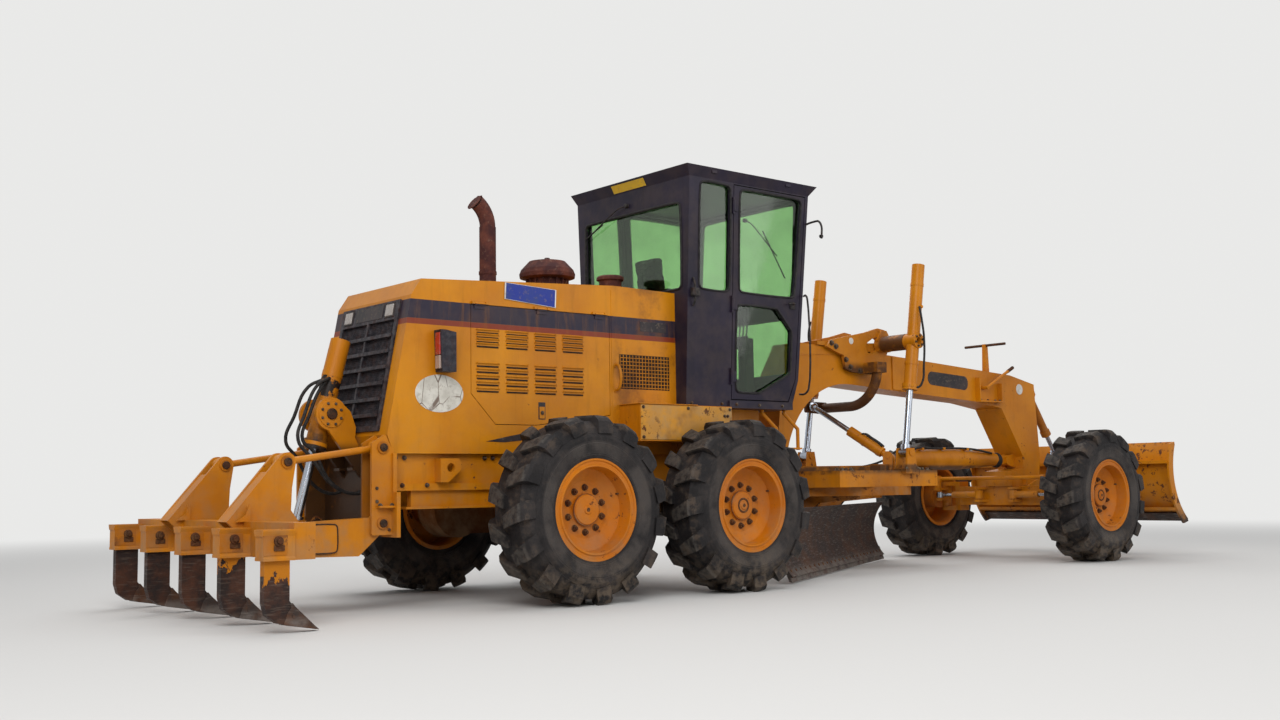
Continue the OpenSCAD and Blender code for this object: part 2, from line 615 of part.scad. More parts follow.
// The ripper beam: tube, shank pockets and the two gusseted posts.
shank_t = 60;
shank_w = 160;
beam_low = 430;
beam_high = 650;
module ripper_beam() color("orange") set_down() {
    box([beam_rear, -2 * shank_step - 40, beam_low], [beam_rear + 140, 2 * shank_step + 40, beam_high]);
    for (i = [-2:2]) translate([0, i * shank_step, 0]) difference() {
        union() {
            box([beam_rear - pocket_l, -55, beam_low + 10], [beam_rear + 1, 55, beam_high - 50]);
            lengthwise(beam_rear - pocket_l - 6, beam_rear + 1) polygon([[-55, beam_high - 75],
                [55, beam_high - 75], [66, beam_high - 45], [66, beam_high - 36], [-66, beam_high - 36],
                [-66, beam_high - 45]]);
            lengthwise(beam_rear - pocket_l, beam_rear + 1) polygon([[-62, beam_low], [62, beam_low],
                [62, beam_low + 14], [55, beam_low + 24], [-55, beam_low + 24], [-62, beam_low + 14]]);
        }
        box([beam_rear - 180 - gap, -shank_t / 2 - gap, beam_low - 10],
            [beam_rear - 20 + gap, shank_t / 2 + gap, beam_high]);
    }
    both_sides() {
        for (y = [link_y - clevis_y, link_y + clevis_y]) slab(clevis_t, y) {
            translate(upper_rear) circle(r = 62);
            polygon([[beam_rear - 110, beam_high - 1], [beam_rear + 130, beam_low],
                [lower_rear[0] + 80, lower_rear[1] - 80], [lower_rear[0] + 84, beam_high - 10],
                [lower_rear[0] + 30, 715], [lower_rear[0] + 36, 860],
                [upper_rear[0] + 60, upper_rear[1] - 16], [upper_rear[0] - 46, upper_rear[1] + 42]]);
        }
        slab(2 * clevis_y + clevis_t, link_y) polygon([[beam_rear - 110, beam_high - 1],
            [beam_rear - 84, beam_high - 1], [upper_rear[0] - 116, 950], [upper_rear[0] - 128, 966]]);
        for (e = [-1, 1]) slab(14, link_y + e * (clevis_y + clevis_t / 2 + 20))
            polygon([[beam_rear - 60, beam_high - 1], [beam_rear + 30, beam_high - 1],
            [beam_rear + 30, beam_high + 110], [beam_rear + 4, beam_high + 40]]);
        for (e = [-1, 1]) box([beam_rear + 22, min(0, e * 30) + link_y + e * (clevis_y + 10),
            beam_high - 1], [beam_rear + 36, max(0, e * 30) + link_y + e * (clevis_y + 10),
            beam_high + 90]);
        for (p = [upper_rear, lower_rear]) cross_bar(pin_r, 2 * clevis_y + 50, [p[0], link_y, p[1]]);
    }
}

module ripper_tines() color("dimgray") set_down() for (i = [-2:2]) slab(shank_t, i * shank_step)
    polygon([[beam_rear - 180, 610], [beam_rear - 20, 610], [beam_rear - 20, 190], [beam_rear + 10, 150],
    [beam_rear + 174, 10], [beam_rear - 50, 55], [beam_rear - 90, 60], [beam_rear - 160, 110],
    [beam_rear - 180, 180]]);

module ripper_barrel() color("orange") set_down() along(ripper_trunnion, ripper_eye) difference() {
    union() {
        translate([0, 0, -560]) cylinder(r = 72, h = 800);
        translate([0, 0, 190]) cylinder(r = 84, h = 60);
        cross_bar(86, 160, [0, 0, 0]);
    }
    translate([0, 0, -480]) cylinder(r = 32 + fit, h = 1000);
    cross_bar(34 + fit, 200, [0, 0, 0]);
}

module ripper_rod() color("silver") set_down() along(ripper_eye,
    ripper_trunnion) rod(norm(ripper_eye - ripper_trunnion) + 60, 32, 50, 90);

// The front frame: rear column with the pivot lug, beam, gooseneck and nose.
// The round arch is cut out of the beam's underside.
arch = [front_x - 2744, 930];
arch_r = 860;
beam_side = [[front_x - 3740, 925], [front_x - 2690, 925], [front_x - 2690, 1790], [front_x - 2100, 1754],
    [front_x - 684, 1680], [front_x - 244, 1620], [front_x + 120, 1100], [front_x + 120, 970],
    [front_x - 110, 940], [front_x - 110, 780], [front_x + 400, 780], [front_x + 436, 1100],
    [front_x + 376, 1900], [front_x - 64, 1985], [front_x - 2070, 2100], [front_x - 3390, 2160],
    [front_x - 3640, 1750]];
post_x = front_x - 264;
module front_frame() color("orange") set_down() {
    difference() {
        union() {
            slab(beam_w) polygon(beam_side);
            slab(beam_w + 16) polygon([[front_x - 3420, 2040], [front_x - 2900, 2075],
                [front_x - 2830, 2110], [front_x - 2830, 2130], [front_x - 3400, 2150]]);
            slab(beam_w + 24) polygon([[front_x - 2060, 1762], [front_x - 1850, 1750],
                [front_x - 1850, 2080], [front_x - 2060, 2092]]);
            translate([hinge_x, 0, 925]) cylinder(r = 140, h = 390);
            box([hinge_x, -140, 925], [front_x - 3600, 140, 1315]);
        }
        translate([hinge_x, 0, 900]) cylinder(r = hinge_r + fit, h = 440);
        cross_bar(arch_r, beam_w + 60, [arch[0], 0, arch[1]]);
    }
    lever_bracket();
    slab(44) polygon([[post_x - 36, 1985], [post_x + 36, 1985], [post_x + 20, 2330], [post_x - 20, 2330]]);
    cross_bar(12, 520, [post_x, 0, 2316]);
    for (y = [-53, 53]) slab(24, y) polygon([[front_x + 200, 970], [front_x + 200, 1150],
        [ball[0] + 30, 1120], [ball[0] - 55, 1100], [ball[0] - 55, 1030], [ball[0], 1000]]);
    cross_bar(pin_r, 130, ball);
    both_sides() {
        slab(24, 220) polygon([[front_x + 100, 640], [front_x + 100, 780], [front_x + 430, 900],
            [dozer_pin[0] + 55, 760], [dozer_pin[0] + 55, 640]]);
        box([front_x + 100, beam_w / 2 - 1, 785], [front_x + 400, 210, 860]);
    }
    cross_bar(pin_r, 470, dozer_pin);
    for (y = [-59, 59]) slab(24, y) polygon([[front_x + 360, 1700], [front_x + 365, 1890],
        [dozer_top[0] + 20, 1850], [dozer_top[0] + 45, 1800], [dozer_top[0] + 20, 1750]]);
    cross_bar(pin_r, 140, dozer_top);
}

// The bracket and lever on the right-hand side of the beam.
module lever_bracket() {
    side = -beam_w / 2 + 1;
    lever_x = front_x - 580;
    box([front_x - 690, side - 66, 1676], [front_x - 270, side, 1692]);
    for (x = [front_x - 690, front_x - 300]) box([x, side - 56, 1690],
        [x + 16, side, x < lever_x ? 1935 : 1885]);
    translate([lever_x, side, 1830]) rotate([90, 0, 0]) cylinder(r = 20, h = 84);
    tube([[lever_x, side - 70, 1830], [front_x - 110, side - 70, 2062]], 16);
}

// The saddle over the beam: a casting on each side with an oval window, arms for the lift
// cylinders, and the curved bar below the beam that holds the shift cylinder's rod.
saddle_rear = front_x - 3170;
saddle_front = lift_trunnion[0] + 130;
function beam_z(x) = 2100 + (front_x - 2070 - x) / 22;
web_y = beam_w / 2 + 47;
bar_x = front_x - 2484;
bar_t = 48;
bar_z = 1950;
bar_r = 360;
seat_y = shift_top[1] + 45 + gap;
module saddle() color("orange") set_down() {
    slab(beam_w + 60) polygon([[saddle_rear, beam_z(saddle_rear) + gap],
        [saddle_front, beam_z(saddle_front) + gap], [saddle_front, beam_z(saddle_front) + 70],
        [saddle_front - 110, 2210], [saddle_rear + 520, 2190], [saddle_rear, 2185]]);
    both_sides() {
        slab(34, web_y) difference() {
            polygon([[front_x - 3080, 2135], [front_x - 2950, 2090], [front_x - 2840, 2060],
                [front_x - 2820, 1935], [front_x - 2730, 1905], [front_x - 2440, 1892],
                [front_x - 2400, 1950], [front_x - 2210, 2090], [front_x - 2170, 2160],
                [front_x - 2180, 2270], [front_x - 2230, 2340], [front_x - 2330, 2352],
                [front_x - 2520, 2300], [front_x - 3000, 2205]]);
            translate([front_x - 2390, 2190]) rotate(28) {
                circle(r = 62);
                translate([-75, 0]) circle(r = 58);
                translate([-75, -58]) square([75, 118]);
            }
        }
        cross_bar(78, lift_y - 75 - web_y, [lift_trunnion[0], (lift_y - 75 + web_y) / 2, lift_trunnion[2]]);
        cross_bar(34, 60, [lift_trunnion[0], lift_y - 90, lift_trunnion[2]]);
        slab(34, web_y + 34) polygon([[lift_trunnion[0] - 60, 2120], [lift_trunnion[0] + 110, 2120],
            [lift_trunnion[0] + 130, 2230], [lift_trunnion[0] + 60, 2330], [lift_trunnion[0] - 10, 2330],
            [lift_trunnion[0] - 80, 2230]]);
    }
    box([bar_x - 70, -bar_r - 40, 1900], [bar_x + 70, -web_y + 10, 2000]);
    translate([bar_x, 20, bar_z]) rotate([90, 0, 90]) rotate([0, 0, 180])
        rotate_extrude(angle = 90) translate([bar_r, 0]) circle(r = bar_t);
    translate([bar_x, -bar_r + 20, bar_z - 1]) cylinder(r = bar_t, h = 40);
    translate([bar_x, 19, bar_z - bar_r]) rotate([-90, 0, 0]) cylinder(r = bar_t, h = seat_y + 5);
    slab(24, seat_y + 12) rounded([[shift_top[0] - 60, 1545], [bar_x + 60, 1530], [bar_x + 60, 1650],
        [shift_top[0] - 60, 1655]], 20);
    translate([shift_top[0], seat_y + 23, shift_top[2]]) rotate([-90, 0, 0])
        cylinder(r = pin_r + 4, h = 12);
}

// The front axle beam with a fork and a kingpin at each end.
module front_axle() color("orange") set_down() {
    box([front_x - 80, -king_y + 240, 575], [front_x + 80, king_y - 240, 780 - gap]);
    both_sides() {
        for (z = [515, 789]) translate([front_x, 0, z]) linear_extrude(46) {
            translate([0, king_y]) circle(r = 54);
            polygon([[-54, king_y], [-40, king_y - 200], [40, king_y - 200], [54, king_y]]);
        }
        translate([0, 0, 515]) linear_extrude(320) polygon([[front_x - 40, king_y - 150],
            [front_x - 80, king_y - 241], [front_x + 80, king_y - 241], [front_x + 40, king_y - 150]]);
        translate([front_x, king_y, 515]) cylinder(r = 30, h = 320);
        for (z = [-67, 67]) translate([0, 0, steer_base[2] + z - 12]) linear_extrude(24)
            polygon([[front_x - 70, steer_base[1] - 60], [steer_base[0] - 45, steer_base[1] - 30],
            [steer_base[0] - 45, steer_base[1] + 30], [front_x - 70, steer_base[1] + 60]]);
        translate(steer_base - [0, 0, 78]) cylinder(r = pin_r, h = 156);
    }
}

// A knuckle: barrel on the kingpin, spindle and the two steering arms.
module knuckle(pinned) difference() {
    union() {
        translate([front_x, king_y, 566]) cylinder(r = 56, h = 218);
        translate([front_x, king_y, axle_z]) rotate([-90, 0, 0]) cylinder(r = spindle_r, h = 346);
        translate([0, 0, 740]) linear_extrude(30) polygon([[front_x + 20, king_y - 40],
            [front_x - 20, king_y + 40], [tie_pin[0] - 40, tie_pin[1] + 30],
            [tie_pin[0] - 40, tie_pin[1] - 40]]);
        translate([tie_pin[0], tie_pin[1], 740]) cylinder(r = 34, h = tie_pin[2] - 35 - gap - 740);
        if (pinned) translate([tie_pin[0], tie_pin[1], 740]) cylinder(r = pin_r, h = 165);
        translate([0, 0, steer_pin[2] - 30 - gap - 34]) linear_extrude(34)
            polygon([[front_x + 20, king_y - 40], [front_x - 20, king_y + 40],
            [steer_pin[0] - 30, steer_pin[1] + 30], [steer_pin[0] - 30, steer_pin[1] - 40]]);
    }
    translate([front_x, king_y, 500]) cylinder(r = 30 + fit, h = 340);
}

module knuckle_left() color("orange") set_down() knuckle(true);
module knuckle_right() color("orange") set_down() mirror([0, 1, 0]) knuckle(false);

module tie_rod() color("orange") set_down() difference() {
    union() {
        both_sides() translate(tie_pin - [0, 0, 35]) cylinder(r = 40, h = 65);
        cross_bar(20, 2 * tie_pin[1], [tie_pin[0], 0, tie_pin[2]]);
    }
    translate(tie_pin - [0, 0, 60]) cylinder(r = pin_r + fit, h = 120);
}

module steer_barrel() along(steer_base, steer_pin) difference() {
    union() {
        rotate([0, 0, 90]) cross_bar(45, 90, [0, 0, 0]);
        cylinder(r = 34, h = 334);
    }
    rotate([0, 0, 90]) cross_bar(pin_r + fit, 100, [0, 0, 0]);
    translate([0, 0, 60]) cylinder(r = 18 + fit, h = 400);
}
module steer_rod() along(steer_pin, steer_base) {
    rotate([0, 0, 90]) cross_bar(42, 60, [0, 0, 0]);
    cylinder(r = 18, h = 316);
}
module steer_barrel_left() color("orange") set_down() steer_barrel();
module steer_barrel_right() color("orange") set_down() mirror([0, 1, 0]) steer_barrel();
module steer_rod_left() color("silver") set_down() steer_rod();
module steer_rod_right() color("silver") set_down() mirror([0, 1, 0]) steer_rod();

// The drawbar: tapered tube from the ball, and a yoke over the circle.
swing_axis = cross(shift_top - shift_eye, cross([0, 1, 0], shift_top - ball));
module on_swing() along(shift_eye, shift_eye + swing_axis) children();
yoke_y = 600;
ring_top = 800;
tube_z = 1068;
// The tapered tube's cones: start behind the ball, length, first and second radius.
tube_cones = [[1000, 60, 84, 98], [1060, 740, 98, 112], [1799, 812, 112, 64]];
module drawbar() color("orange") set_down() {
    both_sides() translate([0, 0, ring_top + 149]) linear_extrude(62) polygon([[circle_x - 70, 600],
        [circle_x - 70, 480], [circle_x + 900, 20], [circle_x + 1180, -20], [circle_x + 1180, 60],
        [circle_x + 900, 140]]);
    difference() {
        union() {
            cross_bar(58, 82, ball);
            for (c = tube_cones) translate([circle_x + c[0], 0, tube_z]) rotate([0, 90, 0])
                cylinder(r1 = c[2], r2 = c[3], h = c[1]);
            slab(60) polygon([[circle_x + 660, 940], [circle_x + 1380, 940], [circle_x + 1560, 1010],
                [circle_x + 1060, 1060], [circle_x + 720, 1010]]);
            box([ball[0] - 150, -41, ball[2] - 42], [ball[0] - 10, 41, ball[2] + 42]);
        }
        cross_bar(pin_r + fit, 200, ball);
    }
    translate([0, 0, ring_top + gap]) linear_extrude(150) difference() {
        polygon([[circle_x + 1400, -60], [circle_x + 700, -yoke_y - 60], [circle_x - 700, -yoke_y - 60],
            [circle_x - 700, yoke_y + 60], [circle_x + 700, yoke_y + 60], [circle_x + 1400, 60]]);
        translate([circle_x - 580, -yoke_y + 60]) square([1220, 2 * yoke_y - 120]);
    }
    both_sides() {
        box([lift_eye[0] - 90, lift_y - 75, ring_top + 120], [lift_eye[0] + 110, lift_y + 75,
            ring_top + 165]);
        for (e = [-1, 1]) {
            slab(20, lift_y + e * (45 + side_gap + 10)) polygon([[lift_eye[0] - 70, ring_top + 140],
                [lift_eye[0] - 50, lift_eye[2] + 40], [lift_eye[0] + 50, lift_eye[2] + 40],
                [lift_eye[0] + 90, ring_top + 140]]);
            cross_bar(pin_r + 8, 12, [lift_eye[0], lift_y + e * (45 + side_gap + 25), lift_eye[2]]);
        }
    }
    box([shift_eye[0] - 90, -yoke_y + 40, ring_top + 100], [shift_eye[0] + 90, -yoke_y + 260,
        ring_top + 150]);
    on_swing() {
        for (e = [-1, 1]) translate([0, 0, e * (40 + side_gap + 10) - 10]) linear_extrude(20) {
            circle(r = 46);
            translate([0, -46]) square([140, 92]);
        }
        cylinder(r = pin_r, h = 140, center = true);
    }
}

// The circle with its two arms, set at the parked angle.
module blade_set() translate([circle_x, 0, 0]) rotate([0, 0, -blade_turn]) children();
rail_low = 190;
rail_high = 430;
arm_y = 480;
module circle_body() blade_set() {
    translate([0, 0, ring_top - 80]) difference() {
        cylinder(r = circle_r, h = 80, $fn = 96);
        translate([0, 0, -1]) cylinder(r = circle_r - 130, h = 82, $fn = 96);
    }
    both_sides() slab(90, arm_y) polygon([[-520, ring_top - 79], [320, ring_top - 79], [320, 690],
        [-60, 655], [-140, 560], [-140, 140], [-240, 140], [-340, 560], [-520, 640]]);
}
module circle_ring() color("orange") set_down() circle_body();

// The moldboard: a curved plate with its cutting edge and two rails behind.
curve_r = 440;
module moldboard() color("dimgray") set_down() blade_set() {
    slab(blade_l) intersection() {
        translate([curve_r - 80, 340]) difference() {
            circle(r = curve_r, $fn = 96);
            circle(r = curve_r - blade_t, $fn = 96);
        }
        translate([-120, 60]) square([260, blade_h - 40]);
    }
    slab(blade_l) polygon([[20, 14], [44, 14], [-5, 150], [-32, 140]]);
    for (z = [rail_low, rail_high]) box([-140 + gap, -1100, z], [-70, 1100, z + 50]);
}

module lift_barrel() along([lift_trunnion[0], lift_y, lift_trunnion[2]],
    [lift_eye[0], lift_y, lift_eye[2]]) difference() {
    union() {
        translate([0, 0, -760]) cylinder(r = 62, h = 1240);
        translate([0, 0, 420]) cylinder(r = 72, h = 60);
        cross_bar(75, 144, [0, 0, 0]);
    }
    translate([0, 0, -700]) cylinder(r = 32 + fit, h = 1300);
    cross_bar(34 + fit, 200, [0, 0, 0]);
}
module lift_rod() along([lift_eye[0], lift_y, lift_eye[2]],
    [lift_trunnion[0], lift_y, lift_trunnion[2]]) rod(norm(lift_trunnion - lift_eye) + 50, 32, 48, 90);
module lift_barrel_left() color("orange") set_down() lift_barrel();
module lift_barrel_right() color("orange") set_down() mirror([0, 1, 0]) lift_barrel();
module lift_rod_left() color("silver") set_down() lift_rod();
module lift_rod_right() color("silver") set_down() mirror([0, 1, 0]) lift_rod();

module shift_barrel() color("orange") set_down() difference() {
    union() {
        on_swing() cylinder(r = 45, h = 80, center = true);
        along(shift_eye, shift_top) {
            cylinder(r = 32, h = 90);
            translate([0, 0, 80]) cylinder(r = 50, h = 400);
        }
    }
    on_swing() cylinder(r = pin_r + fit, h = 90, center = true);
    along(shift_eye, shift_top) translate([0, 0, 100]) cylinder(r = 25 + fit, h = 800);
}
module shift_rod() color("silver") set_down() along(shift_top, shift_eye) {
    sphere(r = 45);
    cylinder(r = 25, h = norm(shift_top - shift_eye) - 300);
}

// The front blade: curved plate, end plates and push arms.
dozer_low = 370;
dozer_chord = 890;
dozer_curve = 700;
module dozer_plate(t) translate([nose_x, dozer_low]) rotate(14) intersection() {
    translate([sqrt(pow(dozer_curve, 2) - pow(dozer_chord / 2, 2)), dozer_chord / 2]) difference() {
        circle(r = dozer_curve - 20 + t, $fn = 96);
        circle(r = dozer_curve - 20, $fn = 96);
    }
    translate([-400, 0]) square([400, dozer_chord]);
}
// The blade's two ribs: height, and how far their rear and front edges are behind the nose.
dozer_ribs = [[1000, 372, 268], [488, 232, 120]];
module dozer() color("orange") set_down() {
    slab(dozer_w) dozer_plate(20);
    both_sides() slab(24, dozer_w / 2 - 12) dozer_plate(90);
    for (r = dozer_ribs) box([nose_x - r[1], -dozer_w / 2 + 20, r[0]], [nose_x - r[2], dozer_w / 2 - 20,
        r[0] + 34]);
    both_sides() {
        difference() {
            slab(60, 160) polygon([[dozer_pin[0], dozer_pin[2] + 60], [dozer_pin[0] - 60, dozer_pin[2]],
                [dozer_pin[0], dozer_pin[2] - 60], [nose_x - 150, 480], [nose_x - 290, 900],
                [dozer_eye[0] - 60, 900]]);
            cross_bar(pin_r + fit, 800, dozer_pin);
        }
        slab(24, 62) polygon([[dozer_eye[0] - 60, 880], [dozer_eye[0] - 40, 1160],
            [dozer_eye[0] + 40, 1160], [nose_x - 290, 1000], [nose_x - 290, 880]]);
    }
    box([dozer_eye[0] - 60, -190, 840], [nose_x - 280, 190, 900]);
    both_sides() translate([dozer_eye[0], 45 + side_gap + 24, dozer_eye[2]]) rotate([-90, 0, 0])
        cylinder(r = pin_r + 8, h = 14);
}
module dozer_barrel() color("orange") set_down() along(dozer_top, dozer_eye) barrel(560, 45, 25, 45, 90,
    60);
module dozer_rod() color("silver") set_down() along(dozer_eye, dozer_top) rod(540, 25, 45, 90);

rear_frame();
tandem_cases();
engine();
hood();
grille();
exhaust();
precleaner();
tail_lamps();
cab_shell();
cab_roof();
cab_glass();
seat();
controls();
steps();
ripper_bracket();
hood_door_left();
hood_door_right();
cab_door_left();
cab_door_right();
color("#222") wheel_place(0, rear_track, 1) tyre();  // rear_left_tyre
color("orange") wheel_place(0, rear_track, 1) rim();  // rear_left_rim
color("#222") wheel_place(0, rear_track, -1) tyre();  // rear_right_tyre
color("orange") wheel_place(0, rear_track, -1) rim();  // rear_right_rim
color("#222") wheel_place(mid_x, rear_track, 1) tyre();  // mid_left_tyre
color("orange") wheel_place(mid_x, rear_track, 1) rim();  // mid_left_rim
color("#222") wheel_place(mid_x, rear_track, -1) tyre();  // mid_right_tyre
color("orange") wheel_place(mid_x, rear_track, -1) rim();  // mid_right_rim
color("#222") wheel_place(front_x, front_track, 1) tyre();  // front_left_tyre
color("orange") wheel_place(front_x, front_track, 1) rim();  // front_left_rim
color("#222") wheel_place(front_x, front_track, -1) tyre();  // front_right_tyre
color("orange") wheel_place(front_x, front_track, -1) rim();  // front_right_rim
front_frame();
saddle();
front_axle();
knuckle_left();
knuckle_right();
tie_rod();
steer_barrel_left();
steer_barrel_right();
steer_rod_left();
steer_rod_right();
drawbar();
circle_ring();  // circle
moldboard();
lift_barrel_left();
lift_barrel_right();
lift_rod_left();
lift_rod_right();
shift_barrel();
shift_rod();
dozer();
dozer_barrel();
dozer_rod();
ripper_arms();
ripper_links();
ripper_beam();
ripper_tines();
ripper_barrel();
ripper_rod();
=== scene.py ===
import math

import bmesh
import bpy
from mathutils import Matrix, Vector


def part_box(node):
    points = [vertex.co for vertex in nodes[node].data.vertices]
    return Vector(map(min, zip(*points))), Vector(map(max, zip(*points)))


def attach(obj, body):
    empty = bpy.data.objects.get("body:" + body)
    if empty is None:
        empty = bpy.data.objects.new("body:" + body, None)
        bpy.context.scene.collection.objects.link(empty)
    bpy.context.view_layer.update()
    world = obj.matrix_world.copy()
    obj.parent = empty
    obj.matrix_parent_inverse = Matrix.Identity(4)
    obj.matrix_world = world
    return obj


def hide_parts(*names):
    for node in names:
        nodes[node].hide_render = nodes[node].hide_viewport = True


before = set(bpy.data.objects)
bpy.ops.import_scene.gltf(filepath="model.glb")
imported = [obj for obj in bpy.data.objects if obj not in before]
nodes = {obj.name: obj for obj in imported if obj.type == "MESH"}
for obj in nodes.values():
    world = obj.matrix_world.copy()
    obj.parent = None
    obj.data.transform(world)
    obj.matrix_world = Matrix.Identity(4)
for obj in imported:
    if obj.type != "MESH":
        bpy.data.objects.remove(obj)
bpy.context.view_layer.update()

# Every place below is counted in metres from the rear tandem axle. The frame's origin is at mid-length on
# the ground, and x_of() turns such a distance into the frame's X.
rear_axle = sum(corner.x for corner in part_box("rear_right_tyre")) / 2


def x_of(distance):
    return rear_axle + distance


def place(distance, y, z):
    return Vector((x_of(distance), y, z))


# The stage: a pale floor, a pale backdrop seen only by the camera and in reflections, and soft lamps.
# The camera stands low behind the machine's right rear corner, as the photographer did.
camera_data = bpy.data.cameras.new("camera")
camera_data.lens = 37.907
camera_data.sensor_width = 36
camera = bpy.data.objects.new("camera", camera_data)
bpy.context.scene.collection.objects.link(camera)
camera.matrix_world = (
    Matrix.Translation(place(-5.932, -8.864, 0.839))
    @ Matrix.Rotation(math.radians(-39.89), 4, "Z")
    @ Matrix.Rotation(math.radians(95.34), 4, "X")
    @ Matrix.Rotation(math.radians(-0.85), 4, "Z")
)
bpy.context.scene.camera = camera
bpy.context.scene.view_settings.view_transform = "Standard"


def deselect():
    bpy.ops.object.select_all(action="DESELECT")


def feed(tree, value, target):
    if isinstance(value, (tuple, list)):
        target.default_value = value if len(value) == len(target.default_value) else (*value, 1)
    elif isinstance(value, (int, float)):
        target.default_value = value
    else:
        tree.links.new(value, target)


def wired(tree, kind, inputs, **settings):
    node = tree.nodes.new(kind)
    for setting, value in settings.items():
        setattr(node, setting, value)
    for socket, value in inputs.items():
        feed(tree, value, node.inputs[socket])
    return node


def stepped(tree, value, low, high, bottom=0.0, top=1.0):
    limits = {"Value": value, "From Min": low, "From Max": high, "To Min": bottom, "To Max": top}
    return wired(tree, "ShaderNodeMapRange", limits, interpolation_type="SMOOTHSTEP").outputs["Result"]


def product(tree, first, second, operation="MULTIPLY"):
    return wired(tree, "ShaderNodeMath", {0: first, 1: second}, operation=operation).outputs[0]


def new_material(name, colour, roughness):
    material = bpy.data.materials.new(name)
    material.use_nodes = True
    tree = material.node_tree
    shader = tree.nodes["Principled BSDF"]
    feed(tree, colour, shader.inputs["Base Color"])
    feed(tree, roughness, shader.inputs["Roughness"])
    feed(tree, 0.2, shader.inputs["Specular IOR Level"])
    return material, tree, shader


backdrop_light = {"Color": (0.86, 0.86, 0.85, 1), "Strength": 0.95}
deselect()
bpy.ops.mesh.primitive_plane_add(size=120, location=(0, 0, 0))
floor = bpy.context.object
floor.name = "floor"
paper, tree, shader = new_material("floor_paper", (0.62, 0.61, 0.59), 0.9)
far_glow = wired(tree, "ShaderNodeEmission", backdrop_light)
from_middle = wired(tree, "ShaderNodeTexCoord", {}).outputs["Object"]
away = wired(tree, "ShaderNodeVectorMath", {0: from_middle}, operation="LENGTH").outputs["Value"]
camera_ray = wired(tree, "ShaderNodeLightPath", {}).outputs["Is Camera Ray"]
share = product(tree, stepped(tree, away, 7.5, 19.0), camera_ray)
surface = wired(tree, "ShaderNodeMixShader", {"Fac": share, 1: shader.outputs[0], 2: far_glow.outputs[0]})
tree.links.new(surface.outputs[0], tree.nodes["Material Output"].inputs["Surface"])
floor.data.materials.append(paper)

world = bpy.data.worlds.new("studio")
bpy.context.scene.world = world
world.use_nodes = True
sky = world.node_tree
background = sky.nodes["Background"]
background.inputs["Color"].default_value = (0.86, 0.88, 0.92, 1)
background.inputs["Strength"].default_value = 0.5
backdrop = wired(sky, "ShaderNodeBackground", backdrop_light)
rays = wired(sky, "ShaderNodeLightPath", {}).outputs
seen = product(sky, rays["Is Camera Ray"], rays["Is Glossy Ray"], "MAXIMUM")
seen = product(sky, seen, rays["Is Transmission Ray"], "MAXIMUM")
surface = wired(sky, "ShaderNodeMixShader", {"Fac": seen, 1: background.outputs[0], 2: backdrop.outputs[0]})
sky.links.new(surface.outputs[0], sky.nodes["World Output"].inputs["Surface"])

for name, energy, size, spot, aim in (
    ("key_lamp", 980, 7.0, (-9.5, -9.0, 8.5), (-1.5, 0, 1.2)),
    ("fill_lamp", 340, 8.0, (5.0, -11.0, 6.0), (1.0, 0, 1.0)),
    ("top_lamp", 520, 9.0, (0, 2.0, 10.5), (0, 0, 0)),
    ("far_lamp", 380, 8.0, (6.0, 10.0, 6.0), (0, 0, 1.0)),
):
    lamp_data = bpy.data.lights.new(name, "AREA")
    lamp_data.energy = energy
    lamp_data.size = size
    lamp = bpy.data.objects.new(name, lamp_data)
    bpy.context.scene.collection.objects.link(lamp)
    lamp.location = spot
    lamp.rotation_euler = (Vector(spot) - Vector(aim)).to_track_quat("Z", "Y").to_euler()
    lamp.visible_transmission = False


# Paint on the frame, drawbar and ripper: amber enamel over primer. Years outdoors have faded it unevenly,
# dust lies on it, and rust shows through where it has chipped.
def object_point(tree, stretch=(1, 1, 1)):
    coordinates = wired(tree, "ShaderNodeTexCoord", {}).outputs["Object"]
    return wired(tree, "ShaderNodeMapping", {"Vector": coordinates, "Scale": stretch}).outputs["Vector"]


def cloud(tree, scale, detail=4, roughness=0.55, stretch=(1, 1, 1), low=0.4, high=0.6):
    inputs = {"Vector": object_point(tree, stretch), "Scale": scale, "Detail": detail, "Roughness": roughness}
    return stepped(tree, wired(tree, "ShaderNodeTexNoise", inputs).outputs["Fac"], low, high)


def mixed(tree, share, under, over):
    inputs = {"Factor": share, "A": under, "B": over}
    return wired(tree, "ShaderNodeMix", inputs, data_type="RGBA").outputs["Result"]


def along_axis(tree, axis):
    coordinates = wired(tree, "ShaderNodeTexCoord", {}).outputs["Object"]
    return wired(tree, "ShaderNodeSeparateXYZ", {0: coordinates}).outputs[axis]


def roughened(tree, shader, roughness, bump_height, strength, distance):
    feed(tree, roughness, shader.inputs["Roughness"])
    bump = wired(tree, "ShaderNodeBump", {"Strength": strength, "Distance": distance, "Height": bump_height})
    tree.links.new(bump.outputs["Normal"], shader.inputs["Normal"])


def stained(material, share, colour):
    tree = material.node_tree
    base = tree.nodes["Principled BSDF"].inputs["Base Color"]
    tree.links.new(mixed(tree, share, base.links[0].from_socket, colour), base)


rust_colour = (0.105, 0.036, 0.016)
dust_colour = (0.26, 0.17, 0.095)


